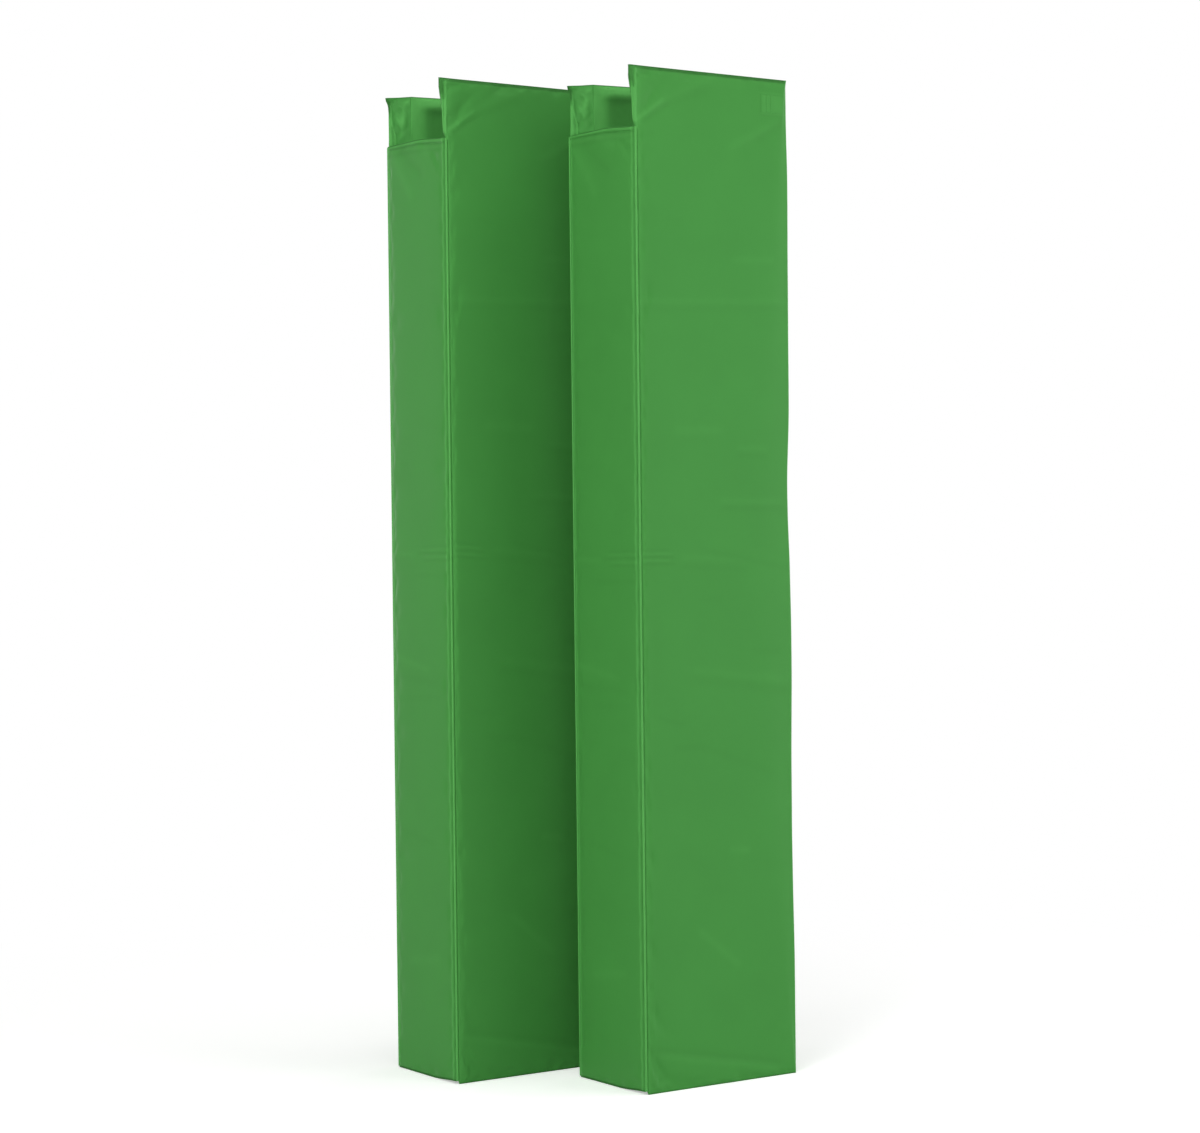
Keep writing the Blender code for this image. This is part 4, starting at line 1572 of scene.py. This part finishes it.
# How far a hook or loop can lean two ways and turn, in radians
MOST_LEAN = (0.12, 0.12, 0.5)
STRAP_BLACK = (0.012, 0.012, 0.013)
STRAP_STITCH = {"Pitch": 0.0034, "Length": 0.0026, "Width": 0.00055}
STRAP_LINE_STEPS = 6
# How far in from the ends and edges of the root, and of the hook tape, the thread runs
ROOT_STITCH_ENDS = (0.003, 0.002)
ROOT_STITCH_INSET = 0.005
HOOK_STITCH_INSET = 0.003


def make_weave():
    """Group: tone, roughness and height in metres of a twill weave, from the strap's UVs."""
    inputs = [("Rib", 0.0022), ("Pick", 0.0026)]
    outputs = ["Tone", "Rough", "Height"]
    group, given = new_group("ShaderNodeTree", "webbing_weave", inputs, outputs)
    unwrapped = placed(group, "ShaderNodeUVMap", uv_map="weave")
    split = placed(group, "ShaderNodeSeparateXYZ", {0: unwrapped}).outputs
    along = math_node(group, "DIVIDE", split["X"], given["Pick"])
    over = math_node(group, "DIVIDE", split["Y"], given["Rib"])
    lean = math_node(group, "MULTIPLY_ADD", math_node(group, "FLOOR", over), 0.5, along)
    pick = math_node(group, "SINE", math_node(group, "MULTIPLY", lean, 2 * math.pi))
    rib = math_node(group, "SINE", math_node(group, "MULTIPLY", over, 2 * math.pi))
    rib = math_node(group, "ABSOLUTE", rib)
    both = math_node(group, "MULTIPLY", math_node(group, "MULTIPLY_ADD", pick, 0.5, 0.5), rib)
    results = {
        "Tone": math_node(group, "MULTIPLY_ADD", both, WEAVE_CONTRAST, WEAVE_DARKEST),
        "Rough": math_node(group, "MULTIPLY", both, -WEAVE_POLISH),
        "Height": math_node(group, "MULTIPLY", both, WEAVE_DEPTH),
    }
    placed(group, "NodeGroupOutput", results)
    return group


black_webbing, tree = new_finish("black_webbing")
weave = placed(tree, "ShaderNodeGroup", WEAVE, node_tree=make_weave()).outputs
rough = math_node(tree, "ADD", weave["Rough"], WEB_ROUGHNESS)
surfaced(tree, tinted(tree, STRAP_BLACK, weave["Tone"]), rough, weave["Height"])


def make_tape_finish(name, roughness, fuzz):
    """A black nylon tape: its thread cloth speckles the colour, roughness and height."""
    material, tree = new_finish(name)
    place = placed(tree, "ShaderNodeTexCoord").outputs["Object"]
    speckle = placed(
        tree, "ShaderNodeTexNoise", {"Vector": place, "Scale": CLOTH_SCALE, "Detail": 2.0}
    ).outputs["Fac"]
    tone = math_node(tree, "MULTIPLY_ADD", speckle, fuzz, 1 - fuzz / 2)
    rough = math_node(tree, "MULTIPLY_ADD", speckle, CLOTH_UNEVENNESS, roughness)
    height = math_node(tree, "MULTIPLY", speckle, CLOTH_DEPTH)
    surfaced(tree, tinted(tree, STRAP_BLACK, tone), rough, height)
    return material


black_hook_tape = make_tape_finish("black_hook_tape", roughness=0.5, fuzz=0.5)
black_loop_tape = make_tape_finish("black_loop_tape", roughness=0.8, fuzz=0.9)
black_thread = make_tape_finish("black_thread", roughness=0.6, fuzz=0.3)
black_stitches = make_row_of_stitches("black_stitches", black_thread)


def web_line():
    """The strap's inner face seen from above: its places across the pad, and how far each
    stands behind the back edge, from the sewn root to the free end."""
    y = np.arange(WEB_ROOT, WEB_END, WEB_STEP)
    y = np.append(y[: -1 if WEB_END - y[-1] < WEB_STEP / 2 else None], WEB_END)
    share = slope(y, WEB_RISE_START, WEB_RISE_START + WEB_RISE_LENGTH)
    rise = (1 - np.cos(np.pi * share)) / 2
    seat = HOOK_BACK + TAPE_THICKNESS - GAP
    return y, GAP + (seat - GAP) * rise


def strap_place(pad, number, x, y, z):
    """Points of a strap's own frame, x behind the pad's back edge, y across the pad and z
    from the strap's middle, in the row frame."""
    corner = pad_corner(pad)
    places = (corner[0] + DEPTH + x, corner[1] + y, STRAP_HEIGHTS[number - 1] + z)
    return np.stack(np.broadcast_arrays(*places), axis=-1)


def web(pad, number):
    """Makes the webbing of one strap."""
    y, x = web_line()
    half = STRAP_WIDTH / 2
    z = np.linspace(-half + WEB_EDGE, half - WEB_EDGE, WEB_COLUMNS)
    z = np.concatenate([[-half], z, [half]])
    height, inward, width = SELVEDGE
    selvedge = np.minimum(height * ridge(np.abs(z), half - inward, width), SELVEDGE_TOP)
    thin = np.where(np.abs(z) > half - WEB_EDGE / 2, WEB_EDGE_ROUND, 0.0)
    outer = x[:, None] + WEB_THICKNESS - thin + selvedge
    inner = x[:, None] + thin
    ring_x = np.concatenate([outer, inner[:, ::-1]], axis=1)
    ring_y = np.broadcast_to(y[:, None], ring_x.shape)
    ring_z = np.broadcast_to(np.concatenate([z, z[::-1]]), ring_x.shape)
    points = strap_place(pad, number, ring_x, ring_y, ring_z)
    faces = shut_tube_faces(*ring_x.shape)
    strip = new_piece(f"{pad}_strap_{number}_web", points, faces, black_webbing)
    strip.data.set_sharp_from_angle(angle=SHARP_EDGE)
    corners = np.empty(len(strip.data.loops), np.int32)
    strip.data.loops.foreach_get("vertex_index", corners)
    flat = np.stack([ring_y.ravel()[corners], ring_z.ravel()[corners]], axis=-1)
    unwrapped = strip.data.uv_layers.new(name="weave")
    unwrapped.data.foreach_set("uv", flat.astype(np.float32).ravel())
    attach(strip, f"{pad}_strap_{number}")
    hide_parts(f"{pad}_strap_{number}_webbing")


def make_pile_field(name, material, sweep):
    """Rule: hooks or loops of bent thread in staggered rows over a tape's face. Long and
    Wide are the field's size, Place its middle and Turn how it faces; each thread leans by
    its own chance."""
    group, given = new_group(
        "GeometryNodeTree",
        name,
        [
            ("Long", 0.05),
            ("Wide", 0.04),
            ("Count Long", 20),
            ("Count Wide", 16),
            ("Rise", 0.0004),
            ("Thread", 0.00009),
            ("Place", (0, 0, 0)),
            ("Turn", (0, 0, 0)),
            ("Seed", 0),
        ],
    )
    grid = placed(
        group,
        "GeometryNodeMeshGrid",
        {
            "Size X": given["Long"],
            "Size Y": given["Wide"],
            "Vertices X": given["Count Long"],
            "Vertices Y": given["Count Wide"],
        },
    )
    bend = placed(
        group,
        "GeometryNodeCurveArc",
        {
            "Radius": given["Rise"],
            "Resolution": 6,
            "Start Angle": 0.0,
            "Sweep Angle": math.radians(sweep),
        },
    )
    round_thread = {"Radius": given["Thread"], "Resolution": 3}
    thread = placed(group, "GeometryNodeCurvePrimitiveCircle", round_thread)
    bent = placed(
        group, "GeometryNodeCurveToMesh", {"Curve": bend, "Profile Curve": thread, "Fill Caps": True}
    )
    upright = {"Geometry": bent, "Rotation": (math.pi / 2, 0, 0)}
    stood = placed(group, "GeometryNodeTransform", upright)
    chance = placed(
        group,
        "FunctionNodeRandomValue",
        {0: [-angle for angle in MOST_LEAN], 1: MOST_LEAN, "Seed": given["Seed"]},
        data_type="FLOAT_VECTOR",
    )
    planted = placed(
        group,
        "GeometryNodeInstanceOnPoints",
        {"Points": grid, "Instance": stood, "Rotation": chance},
    )
    faced = placed(
        group,
        "GeometryNodeTransform",
        {"Geometry": planted, "Translation": given["Place"], "Rotation": given["Turn"]},
    )
    both = placed(group, "GeometryNodeJoinGeometry", {0: faced})
    group.links.new(given["Geometry"], both.inputs[0])
    return finished(group, both, material)


hook_field = make_pile_field("hook_field", black_hook_tape, HOOK_SWEEP)
loop_field = make_pile_field("loop_field", black_loop_tape, LOOP_SWEEP)


def tape(name, pad, number, back, extent, way, rule, pitch, rise, seed):
    """A slab of tape behind the pad's back edge, with its threads by a rule on the face that
    looks way along X, so far apart and so high."""
    low_y, high_y, wide = extent
    size = (TAPE_THICKNESS, high_y - low_y, wide)
    middle = strap_place(pad, number, back + TAPE_THICKNESS / 2, (low_y + high_y) / 2, 0.0)
    slab = new_object(name, [])
    bm = bmesh.new()
    bmesh.ops.create_cube(bm, size=1.0)
    for vertex in bm.verts:
        vertex.co = [vertex.co[k] * size[k] + middle[k] for k in range(3)]
    bmesh.ops.bevel(bm, geom=bm.edges[:], offset=TAPE_BEVEL, segments=2, affect="EDGES")
    bm.to_mesh(slab.data)
    bm.free()
    across, facing = Vector((0, 1, 0)), Vector((way, 0, 0))
    upright = facing.cross(across)
    turn = Matrix([[across[k], upright[k], facing[k]] for k in range(3)]).to_euler()
    long, broad = size[1] - TAPE_MARGIN, wide - TAPE_MARGIN
    values = {
        "Long": long,
        "Wide": broad,
        "Count Long": round(long / pitch),
        "Count Wide": round(broad / pitch),
        "Rise": rise,
        "Place": (middle[0] + way * TAPE_THICKNESS / 2, middle[1], middle[2]),
        "Turn": tuple(turn),
        "Seed": seed,
    }
    return followed(slab, rule, values)


def hook_tape(pad, number):
    """Makes the hook tape of one strap."""
    name = f"{pad}_strap_{number}_hooks"
    rule = (hook_field, HOOK_PITCH, HOOK_RISE, number)
    hooks = tape(name, pad, number, HOOK_BACK, HOOK_TAPE, -1, *rule)
    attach(hooks, f"{pad}_strap_{number}")
    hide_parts(f"{pad}_strap_{number}_hook_tape")


def loop_patch(pad, number):
    """Makes the patch of loops that one strap grips."""
    name = f"{pad}_strap_{number}_pile"
    rule = (loop_field, PILE_PITCH, PILE_RISE, number + SEED_STEP)
    pile = tape(name, pad, number, GAP, LOOP_PATCH, 1, *rule)
    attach(pile, body_of(pad, "far_side"))
    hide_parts(f"{pad}_strap_{number}_loop_patch")


def thread_place(pad, number, y, z):
    """Where a strap's thread lies on the webbing, from its place across the pad and up."""
    line_y, line_x = web_line()
    return strap_place(pad, number, np.interp(y, line_y, line_x) + WEB_THICKNESS, y, z)


def strap_stitching(pad, number):
    """Black thread through the webbing: a crossed box at the root, and round the hooks."""
    low_root, high_root = WEB_ROOT + ROOT_STITCH_ENDS[0], WEB_RISE_START - ROOT_STITCH_ENDS[1]
    up = STRAP_WIDTH / 2 - ROOT_STITCH_INSET
    low_hook, high_hook = HOOK_TAPE[0] + HOOK_STITCH_INSET, HOOK_TAPE[1] - HOOK_STITCH_INSET
    up_hook = HOOK_TAPE[2] / 2 - HOOK_STITCH_INSET
    lines = [
        ((low_root, -up), (low_root, up)),
        ((high_root, -up), (high_root, up)),
        ((low_root, -up), (high_root, -up)),
        ((low_root, up), (high_root, up)),
        ((low_root, -up), (high_root, up)),
        ((low_root, up), (high_root, -up)),
        ((low_hook, -up_hook), (low_hook, up_hook)),
        ((high_hook, -up_hook), (high_hook, up_hook)),
        ((low_hook, -up_hook), (high_hook, -up_hook)),
        ((low_hook, up_hook), (high_hook, up_hook)),
    ]
    rows = stitched(
        f"{pad}_strap_{number}_stitching",
        lines,
        STRAP_LINE_STEPS,
        partial(thread_place, pad, number),
        black_stitches,
        STRAP_STITCH,
    )
    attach(rows, f"{pad}_strap_{number}")


for pad in PADS:
    for number in range(1, len(STRAP_HEIGHTS) + 1):
        web(pad, number)
        hook_tape(pad, number)
        loop_patch(pad, number)
        strap_stitching(pad, number)
